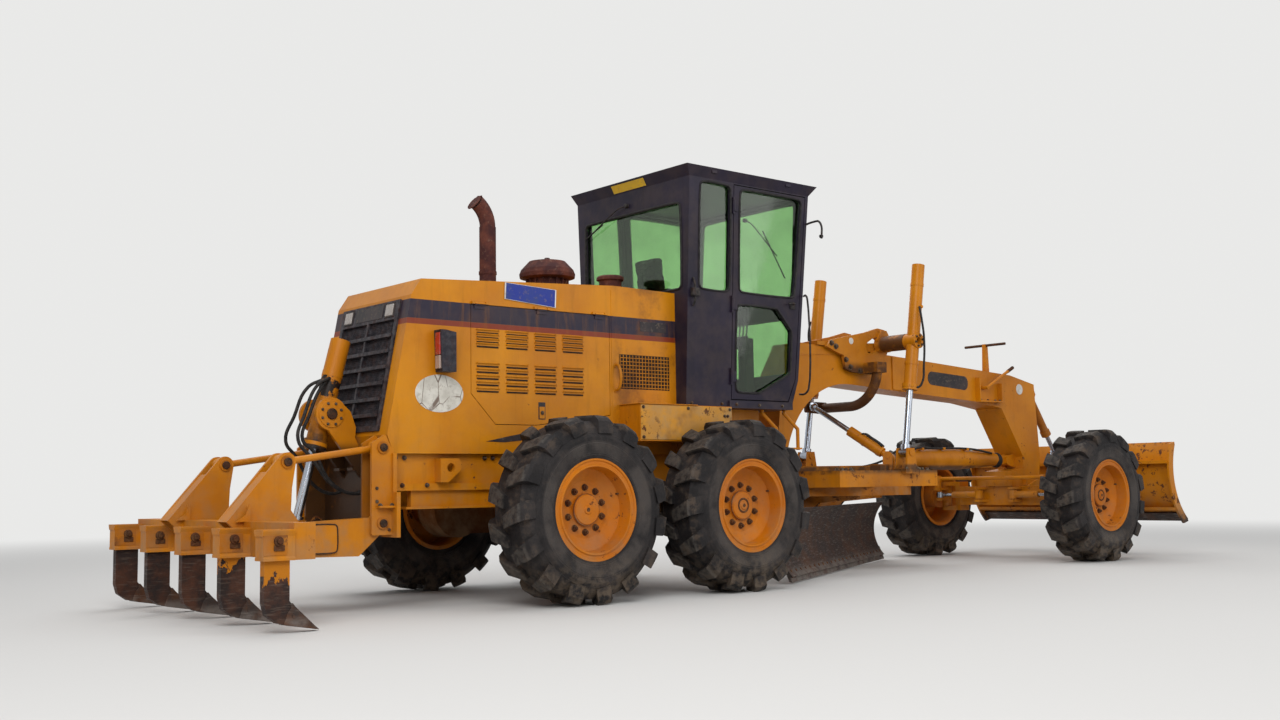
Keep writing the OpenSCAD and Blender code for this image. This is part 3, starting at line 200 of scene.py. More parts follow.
def enamel(name, colour, fade, wear=0.62, dust_top=1.3, dust_share=0.5, shine=0.34, bands=()):
    material, tree, shader = new_material(name, colour, shine)
    faded = mixed(tree, cloud(tree, 1.7, 5, 0.6, low=0.3, high=0.72), colour, fade)
    for axis, low, high, band_colour in bands:
        place_on_axis = along_axis(tree, axis)
        inside = product(
            tree,
            stepped(tree, place_on_axis, low - 0.002, low + 0.002),
            stepped(tree, place_on_axis, high - 0.002, high + 0.002, 1.0, 0.0),
        )
        faded = mixed(tree, inside, faded, band_colour)
    streaks = cloud(tree, 5.0, 6, 0.65, (3.2, 3.2, 0.35), 0.5, 0.78)
    streaked = mixed(tree, product(tree, streaks, 0.38), faded, tuple(part * 0.5 for part in colour))
    lowness = stepped(tree, along_axis(tree, "Z"), 0.25, dust_top, dust_share, 0.06)
    dusty = mixed(
        tree, product(tree, lowness, cloud(tree, 6.5, 6, 0.6, low=0.36, high=0.68)), streaked, dust_colour
    )
    chips = cloud(tree, 15, 8, 0.72, low=wear, high=wear + 0.03)
    patches = cloud(tree, 2.3, 3, 0.5, low=0.47, high=0.62)
    chipped = product(tree, chips, patches)
    final = mixed(tree, chipped, dusty, rust_colour)
    tree.links.new(final, shader.inputs["Base Color"])
    worn = product(tree, product(tree, chipped, 0.4), product(tree, lowness, 0.3), "ADD")
    roughened(tree, shader, product(tree, worn, shine, "ADD"), cloud(tree, 210, 3, 0.6), 0.06, 0.004)
    return material


amber = (0.57, 0.200, 0.002)
amber_faded = (0.44, 0.140, 0.003)
frame_paint = enamel("frame_paint", amber, amber_faded)
# A darker copy of the amber for the circle and the dozer barrel: their grime, and painted shade on the
# circle's dark side.
grime_and_shade_paint = enamel(
    "grime_and_shade_paint", (0.40, 0.130, 0.004), (0.20, 0.062, 0.006), wear=0.56, dust_top=2.4, shine=0.5
)
# The tandem cases take a dark brown copy of the enamel: mud on them, and painted shade where they lie under
# the frame.
mud_and_shade_paint = enamel(
    "mud_and_shade_paint", (0.17, 0.055, 0.008), (0.085, 0.032, 0.012),
    wear=0.54, dust_top=1.5, dust_share=0.7, shine=0.65,
)


def recoat(node_names, material):
    for node_name in node_names:
        node = nodes[node_name]
        node.data.materials.clear()
        node.data.materials.append(material)


recoat(
    [
        "steps", "front_frame", "front_axle", "knuckle_left", "knuckle_right", "tie_rod", "steer_barrel_left",
        "steer_barrel_right", "lift_barrel_left", "lift_barrel_right", "shift_barrel", "ripper_arms",
        "ripper_links", "ripper_beam",
    ],
    frame_paint,
)
recoat(["circle", "dozer_barrel"], grime_and_shade_paint)
recoat(["tandem_cases"], mud_and_shade_paint)


# Bolts of the whole machine: zinc-plated hexagon heads on washers, tightened down on the paint,
# with the thread's end showing through the nut. One is modelled and the rest are copied from it.
def take(piece):
    deselect()
    piece.select_set(True)
    bpy.context.view_layer.objects.active = piece


def into_edit(piece):
    take(piece)
    bpy.ops.object.mode_set(mode="EDIT")
    bpy.ops.mesh.select_mode(type="FACE")
    bpy.ops.mesh.select_all(action="SELECT")


def out_of_edit():
    bpy.ops.object.mode_set(mode="OBJECT")


def outward(piece):
    into_edit(piece)
    bpy.ops.mesh.normals_make_consistent(inside=False)
    out_of_edit()
    return piece


def select_where(piece, kind, chosen):
    bpy.ops.mesh.select_all(action="DESELECT")
    mesh = bmesh.from_edit_mesh(piece.data)
    for part in getattr(mesh, kind):
        part.select = chosen(part)
    bmesh.update_edit_mesh(piece.data)


def applied(piece, modifier):
    take(piece)
    bpy.ops.object.modifier_apply(modifier=modifier)
    return piece


def joined(parts):
    take(parts[0])
    for part in parts:
        part.select_set(True)
    if len(parts) > 1:
        bpy.ops.object.join()
    return bpy.context.object


def finish_piece(parts, name, material, body):
    piece = joined(parts)
    bpy.ops.object.transform_apply(location=True, rotation=True, scale=True)
    piece.name = name
    piece.data.materials.clear()
    piece.data.materials.append(material)
    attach(piece, body)
    return piece


def moved(piece, matrix):
    piece.data.transform(matrix)
    return piece


def repeated(piece, matrices, keep=False):
    copies = []
    for matrix in matrices:
        copy = piece.copy()
        copy.data = piece.data.copy()
        bpy.context.scene.collection.objects.link(copy)
        copies.append(moved(copy, matrix))
    if not keep:
        bpy.data.objects.remove(piece)
    return copies


def facing(direction, spot):
    return Matrix.Translation(spot) @ Vector(direction).to_track_quat("Z", "Y").to_matrix().to_4x4()


def rounded_block(low, high, edge=0.004, segments=2):
    deselect()
    middle = [(a + b) / 2 for a, b in zip(low, high)]
    size = [abs(b - a) for a, b in zip(low, high)]
    bpy.ops.mesh.primitive_cube_add(size=1, location=middle, scale=size)
    piece = bpy.context.object
    bpy.ops.object.transform_apply(location=True, rotation=True, scale=True)
    into_edit(piece)
    bpy.ops.mesh.bevel(offset=edge, segments=segments, affect="EDGES")
    out_of_edit()
    return piece


def flank_block(side, x, y, z, edge=0.004, segments=2):
    low_y, high_y = sorted((side * y[0], side * y[1]))
    return rounded_block(place(x[0], low_y, z[0]), place(x[1], high_y, z[1]), edge, segments)


def round_bar(radius, low, high, vertices, ends="NGON"):
    deselect()
    bpy.ops.mesh.primitive_cylinder_add(
        vertices=vertices, radius=radius, depth=high - low, end_fill_type=ends,
        location=(0, 0, (low + high) / 2),
    )
    bpy.ops.object.transform_apply(location=True, rotation=True, scale=True)
    return bpy.context.object


def disc(radius, low, high, edge=0.002, vertices=24):
    def on_top(face):
        return abs(face.normal.z) > 0.9 and face.calc_center_median().z > (low + high) / 2

    piece = round_bar(radius, low, high, vertices)
    into_edit(piece)
    select_where(piece, "faces", on_top)
    bpy.ops.mesh.bevel(offset=edge, segments=2, affect="EDGES")
    out_of_edit()
    return piece


def hoop(radius, low, high, thickness=0.005):
    piece = round_bar(radius, low, high, 40, "NOTHING")
    piece.modifiers.new("sheet", "SOLIDIFY").thickness = thickness
    return outward(applied(piece, "sheet"))


def ring_of(count, radius, x, z, first=0):
    angles = [math.radians(360 / count * turn + first) for turn in range(count)]
    return [(x + radius * math.cos(angle), z + radius * math.sin(angle)) for angle in angles]


def bolts(name, spots, direction, across, body, head=0.016, stud=0.008):
    washer = disc(across * 0.78, 0, 0.004, 0.001, 16)
    hexagon = disc(across * 0.577, 0.003, 0.004 + head, across * 0.05, 6)
    thread = disc(across * 0.3, 0.004 + head - 0.001, 0.004 + head + stud, across * 0.05, 10)
    turned = []
    for turn, spot in enumerate(spots):
        turned.append(facing(direction, spot) @ Matrix.Rotation(0.4 * turn, 4, "Z"))
    return finish_piece(repeated(joined([washer, hexagon, thread]), turned), name, dull_zinc, body)


def worn_metal(name, dark, bright, rust_share, roughness, metallic=0.8):
    material, tree, shader = new_material(name, dark, roughness)
    base = mixed(tree, cloud(tree, 28, 5, 0.6, low=0.35, high=0.7), dark, bright)
    rusty = product(tree, cloud(tree, 17, 7, 0.7, low=0.48, high=0.6), rust_share)
    tree.links.new(mixed(tree, rusty, base, rust_colour), shader.inputs["Base Color"])
    shader.inputs["Metallic"].default_value = metallic
    rough = product(tree, product(tree, rusty, 0.3), roughness, "ADD")
    roughened(tree, shader, rough, cloud(tree, 150, 4, 0.65), 0.2, 0.002)
    return material


# Inside the rear frame's end the paint is darkened almost to black. The dark part is bounded by its place
# along the machine, its height and its width.
tail_paint = enamel("tail_paint", amber, amber_faded)
tree = tail_paint.node_tree
behind = stepped(tree, along_axis(tree, "X"), x_of(-1.26), x_of(-1.16), 0.95, 0.0)
below = stepped(tree, along_axis(tree, "Z"), 1.10, 1.20, 1.0, 0.0)
between = stepped(tree, product(tree, along_axis(tree, "Y"), 0, "ABSOLUTE"), 0.41, 0.47, 1.0, 0.0)
enclosed = product(tree, product(tree, behind, below), between)
darkened_inside = product(tree, enclosed, cloud(tree, 5, 6, 0.65, low=0.2, high=0.42))
stained(tail_paint, darkened_inside, (0.026, 0.015, 0.010))
recoat(["rear_frame", "ripper_bracket"], tail_paint)
dull_zinc = worn_metal("dull_zinc", (0.085, 0.060, 0.042), (0.17, 0.135, 0.10), 0.75, 0.5)
for side, name in ((-1, "rail_bolts"), (1, "rail_bolts_left")):
    lower_row = [place(x, side * 0.528, 0.868) for x in (-1.15, -0.95, -0.2, 0.05, 0.3)]
    upper_row = [place(x, side * 0.503, 1.06) for x in (-1.19, -1.12, -0.45, -0.38, 0.9, 0.97)]
    bolts(name, lower_row + upper_row, (0, side, 0), 0.022, "chassis")

# The fender boxes: folded sheet in front of the cab steps, one on each side. Boots and spilled fuel have
# worn the paint off their outer plates, which are screwed on at the corners.
stained_paint = enamel(
    "stained_paint", (0.70, 0.30, 0.02), (0.50, 0.24, 0.04),
    wear=0.55, dust_top=2.2, dust_share=0.75, shine=0.42,
)
tree = stained_paint.node_tree
pale_wear = cloud(tree, 4.2, 5, 0.6, low=0.44, high=0.66)
stained(stained_paint, product(tree, pale_wear, 0.6), (0.40, 0.26, 0.12))
dark_soak = cloud(tree, 2.6, 4, 0.6, low=0.5, high=0.7)
stained(stained_paint, product(tree, dark_soak, 0.7), (0.13, 0.06, 0.035))
for side, name in ((-1, "right"), (1, "left")):
    cover = flank_block(side, (0.806, 1.784), (0.799, 0.806), (1.20, 1.474), 0.003)
    finish_piece([cover], f"fender_cover_{name}", stained_paint, "chassis")
    screws = [(x, z) for x in (0.83, 1.30, 1.76) for z in (1.22, 1.455)] + [(1.70, 1.40), (1.735, 1.40)]
    screw_places = [place(x, side * 0.806, z) for x, z in screws]
    bolts(f"fender_screws_{name}", screw_places, (0, side, 0), 0.018, "chassis", 0.009, 0.002)
    # A thin kick lip along the top edge keeps boots from sliding off.
    kick_lip = flank_block(side, (0.79, 1.398), (0.56, 0.815), (1.4795, 1.486), 0.002)
    finish_piece([kick_lip], f"fender_lip_{name}", frame_paint, "chassis")

# The wheel rims: welded discs in a more orange enamel, with road dust in the dish and rust by the nuts.
rim_paint = enamel(
    "rim_paint", (0.56, 0.172, 0.003), (0.44, 0.120, 0.004),
    wear=0.6, dust_top=1.2, dust_share=0.4, shine=0.42,
)
axles = {"rear": (0.0, 1.064), "mid": (1.551, 1.064), "front": (6.6735, 1.076)}
wheel_sides = {"left": 1, "right": -1}
axle_height = 0.675
recoat([f"{axle}_{side}_rim" for axle in axles for side in wheel_sides], rim_paint)

# Wheel nuts and hub collars: ten nuts on their studs round each hub, dark with rust that has run onto the
# paint, a collar with a ring and a grease plug in its middle, and a valve stem through the disc.
nut_rust = worn_metal("nut_rust", (0.075, 0.034, 0.017), (0.16, 0.075, 0.030), 0.8, 0.6, 0.4)
rust_stain = enamel(
    "rust_stain", (0.30, 0.095, 0.016), (0.16, 0.05, 0.014), wear=0.5, dust_top=1.4, dust_share=0.8, shine=0.5
)
for axle, (distance, half_track) in axles.items():
    for side_name, side in wheel_sides.items():
        body = f"{axle}_{side_name}_wheel"
        across = (0, side, 0)
        washer = disc(0.026, 0, 0.005, 0.002, 16)
        hexagon = disc(0.0195, 0.004, 0.024, 0.003, 6)
        nut = joined([washer, hexagon, disc(0.010, 0.023, 0.036, 0.002, 10)])
        face = side * (half_track + 0.0575)
        ring = [facing(across, place(x, face, z)) for x, z in ring_of(10, 0.16, distance, axle_height, 18)]
        finish_piece(repeated(nut, ring), f"{axle}_{side_name}_nuts", nut_rust, body)
        on_collar = facing(across, place(distance, side * (half_track + 0.082), axle_height))
        collar = moved(disc(0.116, -0.012, 0.002, 0.004, 40), on_collar)
        finish_piece([collar], f"{axle}_{side_name}_hub_collar", rust_stain, body)
        deselect()
        bpy.ops.mesh.primitive_torus_add(
            major_radius=0.052 if axle != "rear" else 0.02, minor_radius=0.008,
            major_segments=32, minor_segments=8,
        )
        grease_ring = bpy.context.object
        into_edit(grease_ring)
        bpy.ops.transform.resize(value=(1, 1, 0.6))
        out_of_edit()
        on_hub = facing(across, place(distance, side * (half_track + 0.096), axle_height))
        plug = moved(disc(0.016, -0.002, 0.010, 0.003, 16), on_hub)
        finish_piece([moved(grease_ring, on_hub), plug], f"{axle}_{side_name}_grease_plug", nut_rust, body)
        stem_foot = place(distance + 0.262, side * (half_track + 0.085), axle_height + 0.11)
        stem = moved(disc(0.006, -0.03, 0.035, 0.002, 10), facing(across, stem_foot))
        finish_piece([stem], f"{axle}_{side_name}_valve", dull_zinc, body)


# The tyres: worn black rubber, grey at the cracked sidewalls, with dried mud on the crowns of the lugs
# and rings pressed into the wall where the bead, the rim guard and the shoulder run round.
def old_rubber(name, distance):
    material, tree, shader = new_material(name, (0.03, 0.027, 0.026), 0.8)
    coordinates = wired(tree, "ShaderNodeTexCoord", {}).outputs["Object"]
    to_axle = {"Vector": coordinates, "Location": (-x_of(distance), 0, -axle_height)}
    centred = wired(tree, "ShaderNodeMapping", to_axle).outputs[0]
    flat = wired(tree, "ShaderNodeVectorMath", {0: centred, 1: (1, 0, 1)}, operation="MULTIPLY").outputs[0]
    far = wired(tree, "ShaderNodeVectorMath", {0: flat}, operation="LENGTH").outputs["Value"]
    tone = cloud(tree, 4.5, 6, 0.6, low=0.35, high=0.7)
    base = mixed(tree, tone, (0.011, 0.0095, 0.010), (0.032, 0.027, 0.026))
    grey_wall = product(tree, stepped(tree, far, 0.37, 0.40), stepped(tree, far, 0.475, 0.50, 1.0, 0.0))
    patchy_wall = product(tree, grey_wall, cloud(tree, 3.2, 5, 0.6, low=0.36, high=0.62))
    walled = mixed(tree, patchy_wall, base, (0.060, 0.051, 0.046))
    outer_wall = stepped(tree, far, 0.55, 0.66, 0.12, 0.6)
    mud = product(tree, cloud(tree, 9, 7, 0.68, low=0.5, high=0.66), outer_wall)
    muddy = mixed(tree, mud, walled, (0.115, 0.082, 0.058))
    near_ground = stepped(tree, along_axis(tree, "Z"), 0.0, 0.42, 0.6, 0.0)
    lowness = product(tree, near_ground, cloud(tree, 14, 5, 0.6, low=0.4, high=0.6))
    dusty = mixed(tree, lowness, muddy, (0.17, 0.125, 0.085))
    crown = product(tree, stepped(tree, far, 0.652, 0.668), cloud(tree, 22, 5, 0.6, low=0.35, high=0.6))
    crowned = mixed(tree, product(tree, crown, 0.5), dusty, (0.11, 0.095, 0.08))
    tree.links.new(crowned, shader.inputs["Base Color"])
    rings = None
    for ring_radius, height in ((0.388, 1.0), (0.402, 0.6), (0.472, 1.0), (0.486, 0.6), (0.545, 0.8)):
        rise = stepped(tree, far, ring_radius - 0.004, ring_radius)
        fall = stepped(tree, far, ring_radius + 0.002, ring_radius + 0.006, 1.0, 0.0)
        raised = product(tree, product(tree, rise, fall), height)
        rings = raised if rings is None else product(tree, rings, raised, "MAXIMUM")
    cracks = product(tree, cloud(tree, 26, 8, 0.75, low=0.46, high=0.52), 0.25)
    grain = product(tree, cloud(tree, 70, 6, 0.7), 0.3)
    height_map = product(tree, rings, product(tree, cracks, grain, "ADD"), "ADD")
    roughened(tree, shader, product(tree, product(tree, mud, 0.25), 0.62, "ADD"), height_map, 0.55, 0.006)
    return material


for axle, (distance, half_track) in axles.items():
    rubber = old_rubber(f"{axle}_rubber", distance)
    recoat([f"{axle}_{side}_tyre" for side in wheel_sides], rubber)

# The hood and its doors: pressed sheet with the dark blue band, a thin red line below it, and folded edges.
# The band is painted on, so it runs on over the doors' edges.
navy = (0.018, 0.014, 0.030)
maroon = (0.20, 0.030, 0.012)
hood_paint = enamel(
    "hood_paint", (0.60, 0.225, 0.002), (0.48, 0.160, 0.003), wear=0.66, dust_top=1.6, dust_share=0.35,
    shine=0.36, bands=(("Z", 2.012, 2.052, maroon), ("Z", 2.052, 2.19, navy)),
)
tree = hood_paint.node_tree
forward = stepped(tree, along_axis(tree, "X"), x_of(0.70), x_of(0.82), 0.12, 0.8)
hand_grime = product(tree, forward, cloud(tree, 2.4, 6, 0.66, low=0.44, high=0.66))
stained(hood_paint, hand_grime, (0.17, 0.058, 0.008))
recoat(["hood", "hood_door_left", "hood_door_right"], hood_paint)

# Louvre lips on the hood doors: each is pressed out of the sheet over its slot and open below, so the
# rain runs off. Four columns, four rows above and five below.
# A near-black finish for painted shade: the dark strips in the louvres' mouths and the plate behind the side
# vent.
painted_shade_black = worn_metal("painted_shade_black", (0.010, 0.007, 0.006), (0.030, 0.019, 0.012), 0.2, 0.8, 0.0)
louvre_columns = [-0.547 + 0.262 * column for column in range(4)]
louvre_rows = (1.5515, 1.5985, 1.6455, 1.6925, 1.7365, 1.8815, 1.9155, 1.9495, 1.9835)
lip = rounded_block((0, -0.011, 0), (0.198, 0.004, 0.0225), 0.002)


def outer_top(edge):
    middle = (edge.verts[0].co + edge.verts[1].co) / 2
    return middle.y < -0.0085 and middle.z > 0.019


def closed_end(face):
    middle = face.calc_center_median()
    return middle.y < -0.002 and (middle.x < 0.003 or middle.x > 0.195)


into_edit(lip)
select_where(lip, "edges", outer_top)
bpy.ops.mesh.bevel(offset=0.0075, segments=4, affect="EDGES")
select_where(lip, "faces", closed_end)
bpy.ops.transform.translate(value=(0, 0.006, 0))
out_of_edit()
mirror_y = Matrix.Scale(-1, 4, (0, 1, 0))
# Under each lip a black strip is painted shade, standing in for the dark of its open mouth.
lip_shade_strip = rounded_block((0.005, -0.0085, -0.0095), (0.193, -0.0005, 0.0015), 0.001, 1)
for side_name, side in wheel_sides.items():
    spots = [Matrix.Translation(place(x, 0.5475 * side, z)) for x in louvre_columns for z in louvre_rows]
    spots = spots if side < 0 else [spot @ mirror_y for spot in spots]
    door_body = f"hood_door_{side_name}"
    outward(finish_piece(repeated(lip, spots, True), f"louvres_{side_name}", hood_paint, door_body))
    outward(finish_piece(repeated(lip_shade_strip, spots, True), f"louvre_shade_strips_{side_name}", painted_shade_black, door_body))
bpy.data.objects.remove(lip)
bpy.data.objects.remove(lip_shade_strip)


# Latches and grab handles of the hood: a turn latch low on each door on a black plate, which is painted shade
# for its pressed recess, and a bent round-bar handle beside the front panel.
def sweep(points, radius, closed=False):
    curve = bpy.data.curves.new("sweep", "CURVE")
    curve.dimensions = "3D"
    curve.bevel_depth = radius
    curve.bevel_resolution = 3
    curve.resolution_u = 6
    curve.use_fill_caps = not closed
    spline = curve.splines.new("BEZIER")
    spline.bezier_points.add(len(points) - 1)
    spline.use_cyclic_u = closed
    for knot, point in zip(spline.bezier_points, points):
        knot.co = point
        knot.handle_left_type = "AUTO"
        knot.handle_right_type = "AUTO"
    piece = bpy.data.objects.new("sweep", curve)
    bpy.context.scene.collection.objects.link(piece)
    take(piece)
    bpy.ops.object.convert(target="MESH")
    piece = bpy.context.object
    into_edit(piece)
    bpy.ops.mesh.remove_doubles(threshold=0.0001)
    bpy.ops.mesh.normals_make_consistent(inside=False)
    out_of_edit()
    return piece


def bent_bar(points, radius, bend=0.03):
    path = [points[0]]
    for before, corner, after in zip(points, points[1:], points[2:]):
        for neighbour in (before, after):
            path.append(corner.lerp(neighbour, bend / (neighbour - corner).length))
    path.append(points[-1])
    return sweep(path, radius)


def on_flank(side, points):
    return [place(x, side * y, z) for x, y, z in points]


black_paint = enamel(
    "black_paint", (0.018, 0.016, 0.020), (0.045, 0.038, 0.038),
    wear=0.6, dust_top=2.4, dust_share=0.35, shine=0.45,
)
for side_name, side in wheel_sides.items():
    door_body = f"hood_door_{side_name}"
    across = (0, side, 0)
    latch_shade_plate = flank_block(side, (0.008, 0.072), (0.549, 0.5525), (1.352, 1.482), 0.0015)
    finish_piece([latch_shade_plate], f"latch_recess_shade_{side_name}", black_paint, door_body)
    tongue = flank_block(side, (0.016, 0.064), (0.552, 0.556), (1.358, 1.448), 0.0015)
    finish_piece([tongue], f"latch_plate_{side_name}", hood_paint, door_body)
    screw_place = [place(0.04, side * 0.556, 1.402)]
    bolts(f"latch_screw_{side_name}", screw_place, across, 0.02, door_body, 0.006, 0.002)
    corners = ((0.765, 0.545, 1.60), (0.765, 0.6, 1.60), (0.765, 0.6, 1.80), (0.765, 0.545, 1.80))
    handle = bent_bar(on_flank(side, corners), 0.0125)
    finish_piece([handle], f"hood_handle_{side_name}", hood_paint, "chassis")
    feet = [facing(across, place(0.765, side * 0.5495, z)) for z in (1.60, 1.80)]
    handle_feet = repeated(disc(0.024, 0, 0.006, 0.002, 20), feet)
    finish_piece(handle_feet, f"hood_handle_feet_{side_name}", hood_paint, "chassis")
    # The seam of the front panel: a folded strip that stands a little proud of the hood.
    strip = flank_block(side, (0.722, 0.742), (0.5495, 0.5535), (1.12, 2.40), 0.0015)
    finish_piece([strip], f"hood_seam_{side_name}", hood_paint, "chassis")
    # The side vent: a grid of thin bars, spot-welded to the hood, over a dark plate that is painted shade for
    # the dark behind the grid.
    depth = (0.550, 0.5545)
    heights = [1.6225 + 0.0295 * row for row in range(9)]
    columns = [0.806 + 0.033 * column for column in range(16)]
    bars = [flank_block(side, (0.806, 1.322), depth, (z, z + 0.006), 0.001, 1) for z in heights]
    bars += [flank_block(side, (x, x + 0.005), depth, (1.616, 1.885), 0.001, 1) for x in columns]
    finish_piece(bars, f"vent_grid_{side_name}", hood_paint, "chassis")
    vent_shade_plate = flank_block(side, (0.800, 1.328), (0.5485, 0.5508), (1.612, 1.889), 0.001)
    finish_piece([vent_shade_plate], f"vent_shade_backing_{side_name}", painted_shade_black, "chassis")


# Bare plates on the hood: a blue sheet with a white edge, a pale oval that has cracked with age, a dark
# wedge below it, and a dark plate on the band.
def cut_sheet(outline, depth):
    deselect()
    bpy.ops.mesh.primitive_circle_add(vertices=len(outline), radius=0.1, fill_type="NGON")
    sheet = bpy.context.object
    for vertex, point in zip(sheet.data.vertices, outline):
        vertex.co = point
    into_edit(sheet)
    bpy.ops.mesh.extrude_region_move(TRANSFORM_OT_translate={"value": depth})
    out_of_edit()
    return outward(sheet)


def print_film(name, colour, old_colour, roughness, cracks=0.0):
    material, tree, shader = new_material(name, colour, roughness)
    aged = mixed(tree, cloud(tree, 8, 5, 0.6, low=0.35, high=0.7), colour, old_colour)
    if cracks:
        inputs = {"Vector": object_point(tree, (1, 1, 0.55)), "Scale": 7.5}
        cells = wired(tree, "ShaderNodeTexVoronoi", inputs, feature="DISTANCE_TO_EDGE").outputs["Distance"]
        line = stepped(tree, cells, 0.008, 0.024, 1.0, 0.0)
        broken = product(tree, line, cloud(tree, 6, 4, 0.6, low=0.30, high=0.46))
        aged = mixed(tree, product(tree, broken, cracks), aged, (0.10, 0.05, 0.03))
    scuffs = product(tree, cloud(tree, 30, 6, 0.7, low=0.56, high=0.62), 0.35)
    tree.links.new(mixed(tree, scuffs, aged, (0.22, 0.17, 0.12)), shader.inputs["Base Color"])
    rough = product(tree, product(tree, scuffs, 0.5), roughness, "ADD")
    roughened(tree, shader, rough, cloud(tree, 120, 3, 0.6), 0.08, 0.001)
    return material


white_film = print_film("white_film", (0.66, 0.63, 0.56), (0.46, 0.43, 0.37), 0.5, 0.85)
white_edge = print_film("white_edge", (0.68, 0.67, 0.64), (0.5, 0.47, 0.42), 0.45)
blue_film = print_film("blue_film", (0.018, 0.035, 0.25), (0.03, 0.05, 0.19), 0.4)
dark_film = print_film("dark_film", (0.022, 0.019, 0.022), (0.05, 0.036, 0.035), 0.4)
for side_name, side in wheel_sides.items():
    angles = [math.radians(9 * turn) for turn in range(40)]
    oval = [(-0.86 + 0.2 * math.cos(angle), 1.52 + 0.135 * math.sin(angle)) for angle in angles]
    wedge = ((-0.464, 1.181), (-0.30, 1.176), (-0.02, 1.205), (-0.141, 1.243), (-0.26, 1.222))
    for name, outline, film in (("pale_oval", oval, white_film), ("dark_wedge", wedge, dark_film)):
        sheet = cut_sheet([place(x, side * 0.5503, z) for x, z in outline], (0, side * 0.002, 0))
        finish_piece([sheet], f"{name}_{side_name}", film, "chassis")
plate_corners = ((-0.295, 2.373), (0.180, 2.352), (0.174, 2.212), (-0.300, 2.247))
plate_middle = Vector((sum(x for x, z in plate_corners) / 4, sum(z for x, z in plate_corners) / 4))
edge_outline = [place(x, -0.556, z) for x, z in plate_corners]
film_outline = []
for x, z in plate_corners:
    inward = (plate_middle - Vector((x, z))).normalized() * 0.012
    film_outline.append(place(x + inward.x, -0.5582, z + inward.y))
finish_piece([cut_sheet(edge_outline, (0, -0.002, 0))], "blue_plate_edge", white_edge, "chassis")
finish_piece([cut_sheet(film_outline, (0, -0.0012, 0))], "blue_plate", blue_film, "chassis")
feet = [facing((0, -1, 0), place(x, -0.5498, z)) for x, z in ((-0.25, 2.31), (0.13, 2.285))]
finish_piece(repeated(disc(0.01, 0, 0.0062, 0.001, 12), feet), "blue_plate_feet", dull_zinc, "chassis")
band_plate = rounded_block(place(1.02, -0.5525, 2.085), place(1.30, -0.5498, 2.165), 0.001)
finish_piece([band_plate], "band_plate", dark_film, "chassis")


# The radiator grille: black-painted bars over a woven wire screen, chipped to grey steel along the edges,
# with a square work lamp in each top corner and a bare plate between them.
slope_turn = math.atan2(0.190, 1.000)
on_slope = Matrix.Translation(place(-1.280, 0, 1.220)) @ Matrix.Rotation(slope_turn, 4, "Y")
grille_paint = worn_metal("grille_paint", (0.018, 0.016, 0.021), (0.075, 0.068, 0.074), 0.25, 0.5, 0.3)
recoat(["grille"], grille_paint)
deselect()
bpy.ops.mesh.primitive_grid_add(x_subdivisions=56, y_subdivisions=56, size=1)
screen = bpy.context.object
into_edit(screen)
bpy.ops.transform.resize(value=(0.82, 0.78, 1))
out_of_edit()
lattice = screen.modifiers.new("wires", "WIREFRAME")
lattice.thickness = 0.004
lattice.use_boundary = True
upright = Matrix.Translation((0.011, 0, 0.457)) @ Matrix.Rotation(math.radians(90), 4, "Y")
screen = moved(applied(screen, "wires"), on_slope @ upright)
finish_piece([screen], "grille_screen", grille_paint, "chassis")


def lamp_lens(name, colour, roughness, rib_scale):
    material, tree, shader = new_material(name, colour, roughness)
    inputs = {"Vector": object_point(tree), "Scale": rib_scale, "Distortion": 0.3}
    ribs = wired(tree, "ShaderNodeTexWave", inputs, bands_direction="Y").outputs["Fac"]
    dirt = product(tree, cloud(tree, 20, 5, 0.6, low=0.4, high=0.66), 0.45)
    tree.links.new(mixed(tree, dirt, colour, (0.20, 0.15, 0.11)), shader.inputs["Base Color"])
    shader.inputs["Specular IOR Level"].default_value = 0.5
    shader.inputs["Coat Weight"].default_value = 0.6
    shader.inputs["Coat Roughness"].default_value = 0.12
    rough = product(tree, product(tree, dirt, 0.4), roughness, "ADD")
    roughened(tree, shader, rough, ribs, 0.35, 0.002)
    return material


work_glass = lamp_lens("work_glass", (0.34, 0.30, 0.27), 0.18, 60)
red_glass = lamp_lens("red_glass", (0.42, 0.016, 0.014), 0.15, 45)
pale_glass = lamp_lens("pale_glass", (0.42, 0.31, 0.26), 0.15, 45)
for side_name, side in wheel_sides.items():
    low_y, high_y = sorted((side * 0.246, side * 0.370))
    bezel = rounded_block((-0.020, low_y, 0.868), (-0.004, high_y, 0.974), 0.005)
    finish_piece([moved(bezel, on_slope)], f"work_lamp_body_{side_name}", black_paint, "chassis")
    lens = rounded_block((-0.027, low_y + 0.009, 0.877), (-0.015, high_y - 0.009, 0.965), 0.007, 3)
    finish_piece([moved(lens, on_slope)], f"work_lamp_lens_{side_name}", work_glass, "chassis")
name_plate = rounded_block((-0.0175, -0.205, 0.872), (-0.0138, 0.205, 0.972), 0.001)
finish_piece([moved(name_plate, on_slope)], "grille_plate", dark_film, "chassis")

# Tail lamps: a moulded black housing on each flank, with a red lens above a pale one
# on the side that looks backwards.
housing_black = worn_metal("housing_black", (0.014, 0.013, 0.019), (0.040, 0.037, 0.045), 0.12, 0.42, 0.0)
recoat(["tail_lamps"], housing_black)
for side_name, side in wheel_sides.items():
    for name, heights, lamp_glass in (
        ("red", (1.792, 1.955), red_glass), ("pale", (1.693, 1.789), pale_glass)
    ):
        lens = flank_block(side, (-0.9065, -0.884), (0.5665, 0.6295), heights, 0.006, 3)
        finish_piece([lens], f"tail_lens_{name}_{side_name}", lamp_glass, "chassis")


